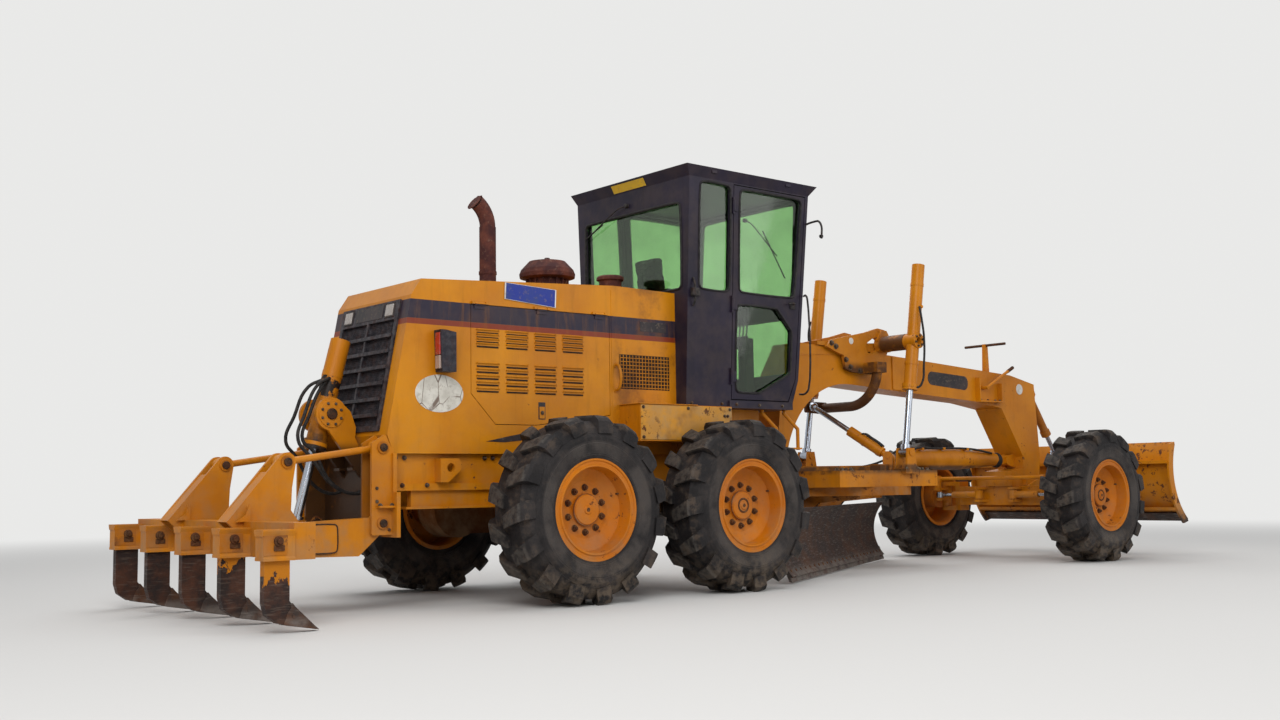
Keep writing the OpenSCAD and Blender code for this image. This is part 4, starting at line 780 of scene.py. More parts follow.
# Exhaust and air intake: heat-rusted steel, deep red-brown, with a powdery face. The exhaust ends in a
# hinged rain flap, and the intake's mushroom head draws air through slots between ribs.
def heat_rust(name):
    material, tree, shader = new_material(name, (0.1, 0.035, 0.026), 0.85)
    tone = cloud(tree, 9, 7, 0.65, low=0.35, high=0.7)
    base = mixed(tree, tone, (0.050, 0.018, 0.018), (0.13, 0.042, 0.028))
    powdery = mixed(tree, cloud(tree, 30, 6, 0.7, low=0.56, high=0.7), base, (0.18, 0.10, 0.07))
    tree.links.new(powdery, shader.inputs["Base Color"])
    roughened(tree, shader, 0.85, cloud(tree, 120, 5, 0.7), 0.35, 0.004)
    return material


burnt_rust = heat_rust("burnt_rust")
recoat(["exhaust", "precleaner"], burnt_rust)
flap = moved(disc(0.068, -0.003, 0.003, 0.002, 32), facing((-0.80, 0, 0.60), place(-0.205, 0, 3.086)))
hinge_pin = moved(disc(0.007, -0.035, 0.035, 0.001, 12), facing((0, 1, 0), place(-0.158, 0, 3.136)))
flap_arm = rounded_block(place(-0.172, -0.010, 3.126), place(-0.150, 0.010, 3.144), 0.003)
clamp_band = moved(hoop(0.071, 2.52, 2.545), Matrix.Translation(place(-0.08, 0, 0)))
finish_piece([flap, hinge_pin, flap_arm, clamp_band], "exhaust_flap", burnt_rust, "chassis")
intake = Matrix.Translation(place(0.5, 0, 0))
turns = [intake @ Matrix.Rotation(math.radians(20 * turn), 4, "Z") for turn in range(18)]
ribs = repeated(rounded_block((0.150, -0.004, 2.462), (0.176, 0.004, 2.538), 0.001, 1), turns)
rim_band = moved(disc(0.159, 2.452, 2.466, 0.002, 48), intake)
knob = moved(disc(0.022, 2.693, 2.712, 0.005, 20), intake)
finish_piece([*ribs, rim_band, knob], "intake_ribs", burnt_rust, "chassis")
cap = moved(round_bar(0.096, 2.43, 2.58, 40), Matrix.Translation(place(1.16, 0, 0)))
into_edit(cap)
select_where(cap, "faces", lambda face: face.normal.z > 0.9)
bpy.ops.mesh.extrude_region_move(TRANSFORM_OT_translate={"value": (0, 0, 0.001)})
bpy.ops.transform.resize(value=(1.22, 1.22, 1), center_override=place(1.16, 0, 2.58))
bpy.ops.mesh.extrude_region_move(TRANSFORM_OT_translate={"value": (0, 0, 0.022)})
bpy.ops.mesh.inset(thickness=0.016, depth=0.014)
out_of_edit()
finish_piece([cap], "filler_cap", burnt_rust, "chassis")
engine_grime = worn_metal("engine_grime", (0.018, 0.014, 0.012), (0.05, 0.036, 0.026), 0.5, 0.7, 0.2)
recoat(["engine"], engine_grime)

# The cab: dark blue-black enamel on folded sheet, faded to violet on top and dusty near the sill.
# Its floor, ceiling and walls are named here, because the windows and fittings are placed by them.
cab_paint = enamel(
    "cab_paint", (0.0115, 0.0085, 0.0190), (0.021, 0.0155, 0.031),
    wear=0.7, dust_top=2.0, dust_share=0.25, shine=0.4,
)
recoat(["cab_shell", "cab_roof", "cab_door_left", "cab_door_right"], cab_paint)
cab_floor, cab_ceiling = 1.480, 3.385
cab_back, cab_toe, cab_lean = 1.400, 2.700, 0.120
cab_depth = cab_toe - cab_back
floor_half, roof_half = 0.670, 0.762


def cab_height(share):
    return cab_floor + share * (cab_ceiling - cab_floor)


def cab_nose(z):
    return cab_toe + (z - cab_floor) / (cab_ceiling - cab_floor) * cab_lean


def wall_y(z):
    return floor_half + (z - cab_floor) / (cab_ceiling - cab_floor) * (roof_half - floor_half)


def rounded_outline(points, radius, steps=6):
    outline = []
    count = len(points)
    for index, corner in enumerate(points):
        before, after = Vector(points[index - 1]), Vector(points[(index + 1) % count])
        corner = Vector(corner)
        entry = (before - corner).normalized()
        leave = (after - corner).normalized()
        half = entry.angle(leave) / 2
        reach = radius / math.tan(half)
        centre = corner + (entry + leave).normalized() * (radius / math.sin(half))
        start, end = corner + entry * reach - centre, corner + leave * reach - centre
        for step in range(steps + 1):
            share = step / steps
            outline.append(centre + start.lerp(end, share).normalized() * radius)
    return outline


# The windows' outlines, each drawn as distance and height on its wall. Heights are given as a share of
# the way from the cab's floor to its ceiling.
def at_height(corners):
    return [(x, cab_height(share)) for x, share in corners]


def rectangle(start, end, low, high):
    return at_height([(start, low), (end, low), (end, high), (start, high)])


door_back = cab_back + 0.394 * cab_depth
toe = cab_nose(cab_height(0.14))
door_high = at_height([
    (door_back + 0.070, 0.517), (cab_nose(cab_height(0.517)) - 0.112, 0.517),
    (cab_nose(cab_height(0.976)) - 0.084, 0.976), (door_back + 0.070, 0.976),
])
door_low = at_height([
    (door_back + 0.046, 0.071), (cab_back + 0.64 * cab_depth, 0.071), (toe - 0.102, 0.168),
    (toe - 0.090, 0.362), (cab_back + 0.8 * cab_depth, 0.459), (door_back + 0.046, 0.459),
])
side_pane = rectangle(cab_back + 0.094 * cab_depth, cab_back + 0.36 * cab_depth, 0.514, 0.984)
back_half = wall_y(cab_height(0.512)) - 0.076
back_pane = rectangle(-back_half, back_half, 0.512, 0.892)
front_half = wall_y(cab_height(0.17)) - 0.076
front_panes = [rectangle(-front_half, front_half, low, high) for low, high in ((0.514, 0.976), (0.17, 0.43))]


# Cab glass: green-tinted safety glass, a little dusty. The doors' panes ride on the doors, and every
# window has a seal of black rubber round it.
def tinted_glass(name):
    material, tree, shader = new_material(name, (0.47, 0.70, 0.41), 0.04)
    shader.inputs["Specular IOR Level"].default_value = 0.5
    shader.inputs["Transmission Weight"].default_value = 1.0
    shader.inputs["IOR"].default_value = 1.45
    film = cloud(tree, 3.5, 5, 0.62, low=0.35, high=0.8)
    tree.links.new(mixed(tree, film, (0.49, 0.735, 0.43), (0.40, 0.61, 0.35)), shader.inputs["Base Color"])
    rough = product(tree, product(tree, film, 0.06), 0.03, "ADD")
    roughened(tree, shader, rough, cloud(tree, 9, 2, 0.5), 0.02, 0.002)
    return material


glass = tinted_glass("tinted_glass")
recoat(["cab_glass"], glass)
window_rubber = worn_metal("window_rubber", (0.011, 0.010, 0.011), (0.030, 0.027, 0.026), 0.0, 0.55, 0.0)


def side_wall(outline, side, proud):
    return [place(x, side * (wall_y(z) + proud), z) for x, z in rounded_outline(outline, 0.045)]


for side_name, side in wheel_sides.items():
    door_body = f"cab_door_{side_name}"
    for pane_name, outline in (("high", door_high), ("low", door_low)):
        pane = cut_sheet(side_wall(outline, side, -0.025), (0, side * -0.006, 0))
        finish_piece([pane], f"door_pane_{pane_name}_{side_name}", glass, door_body)
        seal = sweep(side_wall(outline, side, 0.001)[::2], 0.0095, closed=True)
        finish_piece([seal], f"door_seal_{pane_name}_{side_name}", window_rubber, door_body)
    side_seal = sweep(side_wall(side_pane, side, 0.001)[::2], 0.0095, closed=True)
    finish_piece([side_seal], f"side_seal_{side_name}", window_rubber, "chassis")
back_points = [place(cab_back - 0.001, y, z) for y, z in rounded_outline(back_pane, 0.045)]
finish_piece([sweep(back_points[::2], 0.011, closed=True)], "back_seal", window_rubber, "chassis")
for number, outline in enumerate(front_panes):
    front_points = [place(cab_nose(z) + 0.001, y, z) for y, z in rounded_outline(outline, 0.045)]
    front_seal = sweep(front_points[::2], 0.011, closed=True)
    finish_piece([front_seal], f"front_seal_{number}", window_rubber, "chassis")

# Wipers: a pressed arm from its motor's spindle, bent towards the pane, with a rubber blade. Each row
# gives the spindle, the arm's bend, the arm's tip and the two ends of the blade.
wiper_black = worn_metal("wiper_black", (0.012, 0.011, 0.012), (0.05, 0.045, 0.042), 0.15, 0.5, 0.2)
for name, outwards, points in (
    ("back", -1, ((1.392, 0.047, 3.262), (1.366, 0.134, 3.250), (1.380, 0.50, 3.100),
                  (1.388, 0.38, 3.150), (1.388, 0.622, 3.056))),
    ("front", 1, ((2.825, 0.05, 3.300), (2.852, 0.0, 3.27), (2.800, -0.38, 2.90),
                  (2.805, -0.20, 3.16), (2.770, -0.50, 2.68))),
):
    spindle, bend, tip, start, end = [place(*point) for point in points]
    motor = moved(disc(0.020, -0.012, 0.020, 0.004, 16), facing((outwards, 0, 0), spindle))
    wiper_arm = bent_bar([spindle, bend, tip], 0.0055, 0.02)
    blade = rounded_block((-0.006, -0.004, 0), (0.006, 0.004, 1), 0.001, 1)
    stretch = Matrix.Scale((end - start).length, 4, (0, 0, 1))
    moved(blade, facing(end - start, start) @ stretch)
    finish_piece([motor, wiper_arm, blade], f"wiper_{name}", wiper_black, "chassis")

# Roof fittings: a bare yellow plate on the roof's rear edge and two clips on each of its sides.
# The plate leans back with the edge that it is fixed on.
yellow_film = print_film("yellow_film", (0.62, 0.40, 0.02), (0.50, 0.31, 0.03), 0.4)
roof_plate = rounded_block((-0.002, -0.218, 0.012), (0.001, 0.218, 0.084), 0.001)
on_edge = Matrix.Translation(place(1.3985, 0, 3.386)) @ Matrix.Rotation(-math.atan2(0.052, 0.090), 4, "Y")
finish_piece([moved(roof_plate, on_edge)], "roof_plate", yellow_film, "chassis")
for side_name, side in wheel_sides.items():
    clips = [flank_block(side, (x - 0.03, x + 0.03), (0.772, 0.792), (3.430, 3.458)) for x in (1.66, 2.54)]
    finish_piece(clips, f"roof_clips_{side_name}", cab_paint, "chassis")

# Cab door fittings: a lever handle on its plate, a hold-open catch on the rear pillar, and bolts along
# the sill.
for side_name, side in wheel_sides.items():
    across = (0, side, 0)
    z = cab_height(0.487)
    y = wall_y(z)
    backplate = flank_block(side, (2.60, 2.66), (y - 0.001, y + 0.007), (z - 0.045, z + 0.02), 0.003)
    route = ((2.64, y + 0.004, z), (2.64, y + 0.035, z), (2.55, y + 0.035, z - 0.004))
    lever = bent_bar(on_flank(side, route), 0.0075, 0.012)
    finish_piece([backplate, lever], f"door_lever_{side_name}", wiper_black, f"cab_door_{side_name}")
    y = wall_y(2.42)
    route = ((y + 0.004, 2.31), (y + 0.03, 2.345), (y + 0.03, 2.50), (y + 0.006, 2.54))
    catch = bent_bar([place(1.455, side * out, z) for out, z in route], 0.009, 0.02)
    block = flank_block(side, (1.425, 1.505), (y + 0.001, y + 0.04), (2.385, 2.455), 0.008)
    finish_piece([catch, block], f"hold_open_catch_{side_name}", wiper_black, "chassis")
    sill = [(x, 0.692, 1.51) for x in (1.95, 2.22, 2.50)] + [(x, 0.672, 1.512) for x in (1.46, 1.80)]
    bolts(f"sill_bolts_{side_name}", on_flank(side, sill), across, 0.018, "chassis", 0.008, 0.002)
    # A thin round grab rail stands off the front pillar.
    route = ((2.715, 0.694, 1.62), (2.735, 0.785, 1.62), (2.735, 0.800, 2.49), (2.775, 0.72, 2.49))
    rail = bent_bar(on_flank(side, route), 0.009, 0.04)
    finish_piece([rail], f"cab_grab_rail_{side_name}", wiper_black, "chassis")
    # The mirror's arm is bent tube on the front pillar, with a hand nut near its end.
    route = ((2.795, 0.745, 3.13), (2.83, 0.82, 3.153), (2.84, 0.885, 3.150), (2.84, 0.892, 2.99))
    mirror_arm = bent_bar(on_flank(side, route), 0.0095, 0.03)
    hand_nut = moved(disc(0.016, -0.012, 0.012, 0.003, 12), facing(across, place(2.84, side * 0.889, 3.01)))
    finish_piece([mirror_arm, hand_nut], f"mirror_arm_{side_name}", wiper_black, "chassis")


# Controls: black moulded console and levers, greyed by dust where hands don't reach. The same
# moulding serves for the frame of the seat.
def dusty_black(name, roughness):
    material, tree, shader = new_material(name, (0.02, 0.02, 0.022), roughness)
    dust = product(tree, cloud(tree, 12, 6, 0.65, low=0.45, high=0.7), 0.5)
    tree.links.new(mixed(tree, dust, (0.016, 0.016, 0.019), (0.10, 0.085, 0.07)), shader.inputs["Base Color"])
    rough = product(tree, product(tree, dust, 0.3), roughness, "ADD")
    roughened(tree, shader, rough, cloud(tree, 160, 4, 0.6), 0.15, 0.003)
    return material


black_moulding = dusty_black("black_moulding", 0.5)
recoat(["controls"], black_moulding)

# The seat: a steel pedestal under three foam pads in dark vinyl, each drawn in along a sewn seam and
# creased where the driver has sat. The pads are inflated by a short cloth run and then held.
seat_place = cab_back + 0.2 * cab_depth
pedestal = rounded_block(
    place(seat_place + 0.06, -0.13, cab_floor + 0.0503),
    place(seat_place + 0.34, 0.13, cab_floor + 0.355), 0.02, 3,
)
slide = rounded_block(
    place(seat_place + 0.01, -0.2, cab_floor + 0.345), place(seat_place + 0.43, 0.2, cab_floor + 0.375), 0.01
)
seat_frame = finish_piece([pedestal, slide], "seat_frame", black_moulding, "chassis")
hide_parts("seat")
seat_vinyl, tree, shader = new_material("seat_vinyl", (0.02, 0.02, 0.022), 0.5)
vinyl_tone = cloud(tree, 7, 5, 0.6, low=0.35, high=0.7)
vinyl = mixed(tree, vinyl_tone, (0.007, 0.007, 0.008), (0.022, 0.021, 0.021))
tree.links.new(vinyl, shader.inputs["Base Color"])
wrinkles = cloud(tree, 11, 3, 0.45, (1, 1, 1.6), 0.35, 0.65)
vinyl_grain = product(tree, cloud(tree, 260, 3, 0.6), 0.12)
shader.inputs["Specular IOR Level"].default_value = 0.5
roughened(tree, shader, 0.36, product(tree, wrinkles, vinyl_grain, "ADD"), 1.0, 0.03)


def pad(name, size, tilt, centre, pull):
    shape = rounded_block([-half / 2 for half in size], [half / 2 for half in size], min(size) * 0.3, 4)
    shape.data.remesh_voxel_size = 0.012
    take(shape)
    bpy.ops.object.voxel_remesh()
    still = [vertex.co.copy() for vertex in shape.data.vertices]
    cloth = shape.modifiers.new("foam", "CLOTH")
    cloth.settings.use_pressure = True
    cloth.settings.uniform_pressure_force = 4
    cloth.settings.tension_stiffness = 25
    cloth.settings.compression_stiffness = 25
    cloth.settings.effector_weights.gravity = 0
    for moment in range(1, 21):
        bpy.context.scene.frame_set(moment)
    applied(shape, "foam")
    bpy.context.scene.frame_set(1)
    for vertex, before in zip(shape.data.vertices, still):
        move = vertex.co - before
        vertex.co = before + move.normalized() * min(move.length, 0.014)
    # The sewn seam pulls the cover in along a line near the edge, and the middle stays crowned.
    for vertex in shape.data.vertices:
        for axis in range(3):
            if axis == pull:
                continue
            off = abs(abs(vertex.co[axis]) - (size[axis] / 2 - 0.055))
            if off < 0.02 and abs(vertex.co[pull]) > size[pull] * 0.32:
                vertex.co[pull] *= 1 - 0.10 * (1 - off / 0.02)
    shape.data.transform(Matrix.Translation(place(*centre)) @ Matrix.Rotation(math.radians(tilt), 4, "Y"))
    soften = shape.modifiers.new("soften", "SUBSURF")
    soften.levels = soften.render_levels = 1
    applied(shape, "soften")
    bpy.ops.object.shade_smooth()
    piece = finish_piece([shape], name, seat_vinyl, "chassis")
    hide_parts("seat")


pad("seat_cushion", (0.44, 0.48, 0.105), 0, (seat_place + 0.23, 0, cab_floor + 0.432), 2)
pad("seat_back", (0.105, 0.46, 0.56), -8, (seat_place + 0.012, 0, cab_floor + 0.785), 0)
pad("seat_headrest", (0.100, 0.296, 0.300), -8, (seat_place - 0.053, -0.001, cab_floor + 1.18), 0)

# Cab inside: a rubber floor mat, gaiters where the levers come out of the console, and a horn button.
# The gaiters stand in two rows of five.
leaning = (0.139, 0, 0.99)
lever_rows = [side * (0.215 + 0.044 * lever) for side in wheel_sides.values() for lever in range(5)]
lever_feet = [facing(leaning, place(2.371, y, cab_floor + 0.642)) for y in lever_rows]
gaiters = repeated(disc(0.021, -0.004, 0.022, 0.008, 14), lever_feet)
on_column = Matrix.Translation(place(2.340, 0, cab_floor + 0.62)) @ Matrix.Rotation(math.radians(-25), 4, "Y")
button = moved(disc(0.034, -0.002, 0.012, 0.004, 24), on_column @ Matrix.Translation((0, 0, 0.314)))
finish_piece([*gaiters, button], "lever_gaiters", window_rubber, "chassis")
mat = rounded_block(place(1.56, -0.56, cab_floor + 0.0505), place(2.56, 0.56, cab_floor + 0.060), 0.003)
finish_piece([mat], "floor_mat", window_rubber, "chassis")

# Bare working steel: the moldboard and the ripper shanks, brown with rust and dark where soil has rubbed
# them. The lower it lies, the more it is polished.
def bare_steel(name, dark, brown, bright, polish_below):
    material, tree, shader = new_material(name, dark, 0.55)
    rusted = mixed(tree, cloud(tree, 5, 8, 0.68, low=0.4, high=0.66), dark, brown)
    scratches = cloud(tree, 34, 3, 0.5, (0.3, 0.3, 2.4), 0.52, 0.7)
    scratched = mixed(tree, product(tree, scratches, 0.35), rusted, bright)
    near_ground = stepped(tree, along_axis(tree, "Z"), polish_below * 0.4, polish_below, 0.8, 0.0)
    lowness = product(tree, near_ground, cloud(tree, 8, 5, 0.6, low=0.3, high=0.6))
    tree.links.new(mixed(tree, lowness, scratched, bright), shader.inputs["Base Color"])
    shader.inputs["Metallic"].default_value = 0.45
    rough = product(tree, product(tree, scratches, -0.15), 0.6, "ADD")
    roughened(tree, shader, rough, cloud(tree, 40, 6, 0.7), 0.25, 0.006)
    return material


blade_steel = bare_steel(
    "blade_steel", (0.045, 0.034, 0.032), (0.095, 0.048, 0.030), (0.20, 0.175, 0.155), 0.16
)
shank_steel = bare_steel(
    "shank_steel", (0.030, 0.021, 0.019), (0.085, 0.036, 0.022), (0.15, 0.11, 0.085), 0.1
)
recoat(["moldboard"], blade_steel)
recoat(["ripper_tines"], shank_steel)

# Amber paint is left on the upper ends of the two right-hand shanks, where the ground hasn't rubbed it off.
tree = shank_steel.node_tree
across_shanks = along_axis(tree, "Y")
right_shank = stepped(tree, across_shanks, -1.0, -0.9, 0.315, 0.375)
other_shanks = stepped(tree, across_shanks, -0.4, -0.3, 0.0, 1.0)
paint_ends = product(tree, right_shank, other_shanks, "ADD")
ragged = product(tree, cloud(tree, 16, 5, 0.6, (1, 1, 0.7), 0.3, 0.7), 0.12)
ragged_height = product(tree, along_axis(tree, "Z"), ragged, "ADD")
paint_left = stepped(tree, product(tree, ragged_height, paint_ends, "SUBTRACT"), 0.060, 0.068)
stained(shank_steel, paint_left, (0.46, 0.155, 0.004))
metal_share = product(tree, product(tree, paint_left, -0.45), 0.45, "ADD")
tree.links.new(metal_share, tree.nodes["Principled BSDF"].inputs["Metallic"])

# Cylinder rods: hard chrome, lightly scored along their length, with patches where a film of oil has
# left them darker.
chrome, tree, shader = new_material("hard_chrome", (0.36, 0.39, 0.44), 0.24)
oil_marks = cloud(tree, 5, 3, 0.5, (1, 1, 0.2), 0.35, 0.7)
tree.links.new(mixed(tree, oil_marks, (0.34, 0.37, 0.43), (0.46, 0.49, 0.54)), shader.inputs["Base Color"])
shader.inputs["Metallic"].default_value = 1.0
dull_spots = product(tree, cloud(tree, 6, 3, 0.5, low=0.3, high=0.7), 0.06)
scores = cloud(tree, 60, 2, 0.4, (1, 1, 0.1))
roughened(tree, shader, product(tree, dull_spots, 0.22, "ADD"), scores, 0.008, 0.0005)
rods = [f"{kind}_rod_{side}" for kind in ("steer", "lift") for side in ("left", "right")]
recoat([*rods, "shift_rod", "dozer_rod", "ripper_rod"], chrome)

# Ripper points: forged tips driven onto the toes of the shanks, polished at the end and rusty above.
pocket_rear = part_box("ripper_beam")[0].x
beam_face = pocket_rear + 0.200
point_steel = bare_steel("point_steel", (0.050, 0.037, 0.032), (0.11, 0.048, 0.025), (0.20, 0.17, 0.15), 0.11)
shank_places = [-1.27, -0.635, 0.0, 0.635, 1.27]
tip_outline = (
    (-0.052, 0.050), (0.178, 0.008), (0.026, 0.152), (0.006, 0.176), (-0.012, 0.170), (-0.004, 0.148),
    (-0.028, 0.118),
)
for number, y in enumerate(shank_places):
    outline = [Vector((beam_face + x, y - 0.036, z)) for x, z in tip_outline]
    point = cut_sheet(outline, (0, 0.072, 0))
    into_edit(point)
    bpy.ops.mesh.bevel(offset=0.003, segments=2, affect="EDGES")
    out_of_edit()
    through = facing((0, 1, 0), Vector((beam_face + 0.012, y, 0.098)))
    pin = moved(disc(0.011, -0.041, 0.041, 0.003, 14), through)
    finish_piece([point, pin], f"ripper_point_{number}", point_steel, "ripper_beam")

# Shank pins: a round-headed pin through each pocket, kept by a flat plate and a hexagon bolt on its
# right-hand end. Soil and rust have darkened the paint round them.
beam_steel = enamel(
    "pocket_paint", (0.50, 0.165, 0.003), (0.34, 0.10, 0.004), wear=0.46, dust_top=1.0, shine=0.45
)
for number, y in enumerate(shank_places):
    right_end = facing((0, -1, 0), Vector((pocket_rear + 0.098, y - 0.055, 0.545)))
    left_end = facing((0, 1, 0), Vector((pocket_rear + 0.098, y + 0.055, 0.545)))
    head = moved(disc(0.030, 0, 0.022, 0.005, 24), right_end)
    nub = moved(disc(0.017, 0.020, 0.040, 0.003, 6), right_end)
    keeper = rounded_block(
        (pocket_rear + 0.070, y - 0.066, 0.487), (pocket_rear + 0.138, y - 0.0545, 0.522), 0.004
    )
    tail = moved(disc(0.022, 0, 0.030, 0.004, 20), left_end)
    finish_piece([head, nub, keeper, tail], f"shank_pin_{number}", nut_rust, "ripper_beam")
    wear_plate = rounded_block(
        (pocket_rear + 0.004, y - 0.0585, 0.462), (pocket_rear + 0.158, y - 0.0548, 0.580), 0.0015
    )
    finish_piece([wear_plate], f"pocket_plate_{number}", beam_steel, "ripper_beam")

# Link pins of the ripper: chamfered washers and hollow pin ends outside the clevises, wet with grease.
# Each row gives the upper and the lower pin of one end of the links.
grease_dark = worn_metal("grease_dark", (0.020, 0.013, 0.010), (0.070, 0.036, 0.018), 0.5, 0.38, 0.3)
for name, pins, body in (
    ("bracket", ((-1.330, 1.130), (-1.330, 0.610)), "chassis"),
    ("beam", ((-2.034, 1.030), (-2.034, 0.510)), "ripper_beam"),
):
    ends = [
        facing((0, way, 0), place(x, side * 0.5 + way * 0.0795, z))
        for x, z in pins for side in (-1, 1) for way in (-1, 1)
    ]
    collars = repeated(disc(0.044, -0.004, 0.012, 0.004, 28), ends)
    finish_piece(collars, f"ripper_pin_collars_{name}", beam_steel, body)
    hollow_end = joined([disc(0.0285, -0.004, 0.024, 0.004, 24), disc(0.013, 0.020, 0.027, 0.002, 6)])
    finish_piece(repeated(hollow_end, ends), f"ripper_pins_{name}", grease_dark, body)

# Trunnion covers of the ripper cylinder: a flanged disc with eight bolts and a dark greased centre.
# More bolts hold the bracket to the rear frame.
trunnion_x, trunnion_z = -1.495, 1.380
for side_name, side in wheel_sides.items():
    across = (0, side, 0)
    cover_place = facing(across, place(trunnion_x, side * 0.1395, trunnion_z))
    cover = moved(disc(0.098, 0, 0.007, 0.003, 40), cover_place)
    finish_piece([cover], f"trunnion_cover_{side_name}", frame_paint, "chassis")
    centre_place = facing(across, place(trunnion_x, side * 0.1415, trunnion_z))
    centre = moved(disc(0.040, 0.004, 0.018, 0.006, 32), centre_place)
    finish_piece([centre], f"trunnion_centre_{side_name}", grease_dark, "chassis")
    spots = [place(x, side * 0.1462, z) for x, z in ring_of(8, 0.078, trunnion_x, trunnion_z, 22)]
    bolts(f"trunnion_bolts_{side_name}", spots, across, 0.014, "chassis", 0.007, 0.002)
    spots = [place(x, side * 0.570, z) for x, z in ((-1.375, 0.76), (-1.375, 0.85), (-1.28, 0.565))]
    spots += [place(x, side * 0.6, 0.7305) for x in (-1.36, -1.27)]
    bolts(f"bracket_bolts_{side_name}", spots, across, 0.022, "chassis", 0.012, 0.004)

# Ripper hoses: three black pressure hoses leave the cylinder's ports, hang behind the bracket and run
# forward below the hood.
hose_rubber = worn_metal("hose_rubber", (0.012, 0.011, 0.011), (0.035, 0.030, 0.027), 0.0, 0.6, 0.0)
for number, (y, bulge) in enumerate(((-0.100, -0.01), (-0.075, -0.06), (0.085, -0.03))):
    route = (
        (-1.475 - bulge * 0.3, y * 0.6, 1.640), (-1.596 - bulge, y, 1.583), (-1.698 - bulge, y * 1.1, 1.369),
        (-1.753 - bulge, y * 1.3, 1.193), (-1.658 - bulge * 0.6, y * 1.5, 1.06 - bulge),
        (-1.484, y * 1.7, 0.862 - bulge * 0.5), (-1.327, y * 1.9, 0.815), (-1.262, y * 2.0, 0.83),
    )
    hose = sweep([place(*point) for point in route], 0.0125)
    finish_piece([hose], f"ripper_hose_{number}", hose_rubber, "chassis")
trunnion = Vector((trunnion_x, 0, trunnion_z))
barrel_axis = (Vector((-1.700, 0, 0.590)) - trunnion).normalized()
barrel_band = moved(hoop(0.0745, -0.02, 0.02), facing(barrel_axis, place(*(trunnion - barrel_axis * 0.30))))
gland = moved(hoop(0.0865, 0.206, 0.232), facing(barrel_axis, place(*trunnion)))
pipe_start = trunnion - barrel_axis * 0.50 + Vector((0.072, 0.02, 0.02))
pipe = sweep([place(*(pipe_start + barrel_axis * step)) for step in (0, 0.02, 0.16, 0.30, 0.34)], 0.009)
finish_piece([barrel_band, gland, pipe], "ripper_barrel_fittings", frame_paint, "ripper_barrel")

# The ripper barrel is black with spilt grease round its trunnion, and a bead of grease runs round the
# side plate of each arm.
soaked = enamel("soaked_paint", amber, amber_faded, wear=0.6, dust_top=1.6, dust_share=0.4, shine=0.42)
tree = soaked.node_tree
soaked_rag = product(tree, cloud(tree, 9, 6, 0.65, low=0.3, high=0.7), 0.14)
soaked_edge = product(tree, along_axis(tree, "Z"), soaked_rag, "ADD")
lower_spill = stepped(tree, soaked_edge, 1.18, 1.40, 1.0, 0.0)
upper_start = stepped(tree, soaked_edge, 1.60, 1.62)
upper_spill = product(tree, upper_start, stepped(tree, soaked_edge, 1.70, 1.74, 1.0, 0.0))
stained(soaked, product(tree, lower_spill, upper_spill, "MAXIMUM"), (0.016, 0.010, 0.008))
recoat(["ripper_barrel"], soaked)
plate_outline = rounded_outline(((-1.874, 0.425), (-1.662, 0.425), (-1.662, 0.612), (-1.874, 0.612)), 0.025)
for side_name, side in wheel_sides.items():
    bead_path = [place(x, side * 0.5625, z) for x, z in plate_outline]
    bead = sweep(bead_path[::2], 0.0055, closed=True)
    finish_piece([bead], f"arm_plate_rim_{side_name}", grease_dark, "ripper_arms")

# Bare plates of the front beam: a dark pill-shaped film on each flank, a round reflector on the gooseneck
# and a small pale sticker on the saddle.
pill_corners = ((5.179, 1.972), (5.852, 1.938), (5.843, 1.791), (5.181, 1.835))
for side_name, side in wheel_sides.items():
    pill = [place(x, side * 0.1702, z) for x, z in rounded_outline(pill_corners, 0.066)]
    film = cut_sheet(pill, (0, side * 0.0015, 0))
    finish_piece([film], f"beam_plate_{side_name}", dark_film, "front_frame")
    on_gooseneck = facing((0, side, 0), place(6.771, side * 0.1695, 1.836))
    reflector = moved(disc(0.058, 0, 0.006, 0.003, 32), on_gooseneck)
    finish_piece([reflector], f"beam_reflector_{side_name}", white_edge, "front_frame")
sticker = moved(disc(0.032, 0, 0.0012, 0.0005, 24), facing((0, -1, 0), place(3.943, -0.2342, 2.205)))
finish_piece([sticker], "saddle_sticker", white_edge, "front_frame")

# Saddle and beam fastenings: a row of large bolts holds each saddle casting to the beam, and a row holds
# the lever's shelf on the right-hand side.
casting_bolts = ((3.72, 2.14), (3.86, 2.02), (3.92, 1.95), (4.06, 1.92), (4.24, 1.95), (3.66, 2.17))
lift_x, lift_y, lift_z = 4.3745, 0.64, 2.190
for side_name, side in wheel_sides.items():
    across = (0, side, 0)
    spots = [place(x, side * 0.2340, z) for x, z in casting_bolts]
    bolts(f"saddle_bolts_{side_name}", spots, across, 0.036, "front_frame", 0.018, 0.006)
    spots = [place(x, side * 0.7145, z) for x, z in ring_of(6, 0.052, lift_x, lift_z, 15)]
    bolts(f"lift_cap_bolts_{side_name}", spots, across, 0.015, f"lift_barrel_{side_name}", 0.008, 0.002)
spots = [place(x, -0.20, 1.692) for x in (6.03, 6.15, 6.28, 6.36)]
bolts("shelf_bolts", spots, (0, 0, 1), 0.020, "front_frame", 0.010, 0.004)
spots = [place(x, y, 1.3155) for x, y in ring_of(6, 0.110, 2.5995, 0)]
bolts("pivot_bolts", spots, (0, 0, 1), 0.024, "front_frame", 0.012, 0.004)

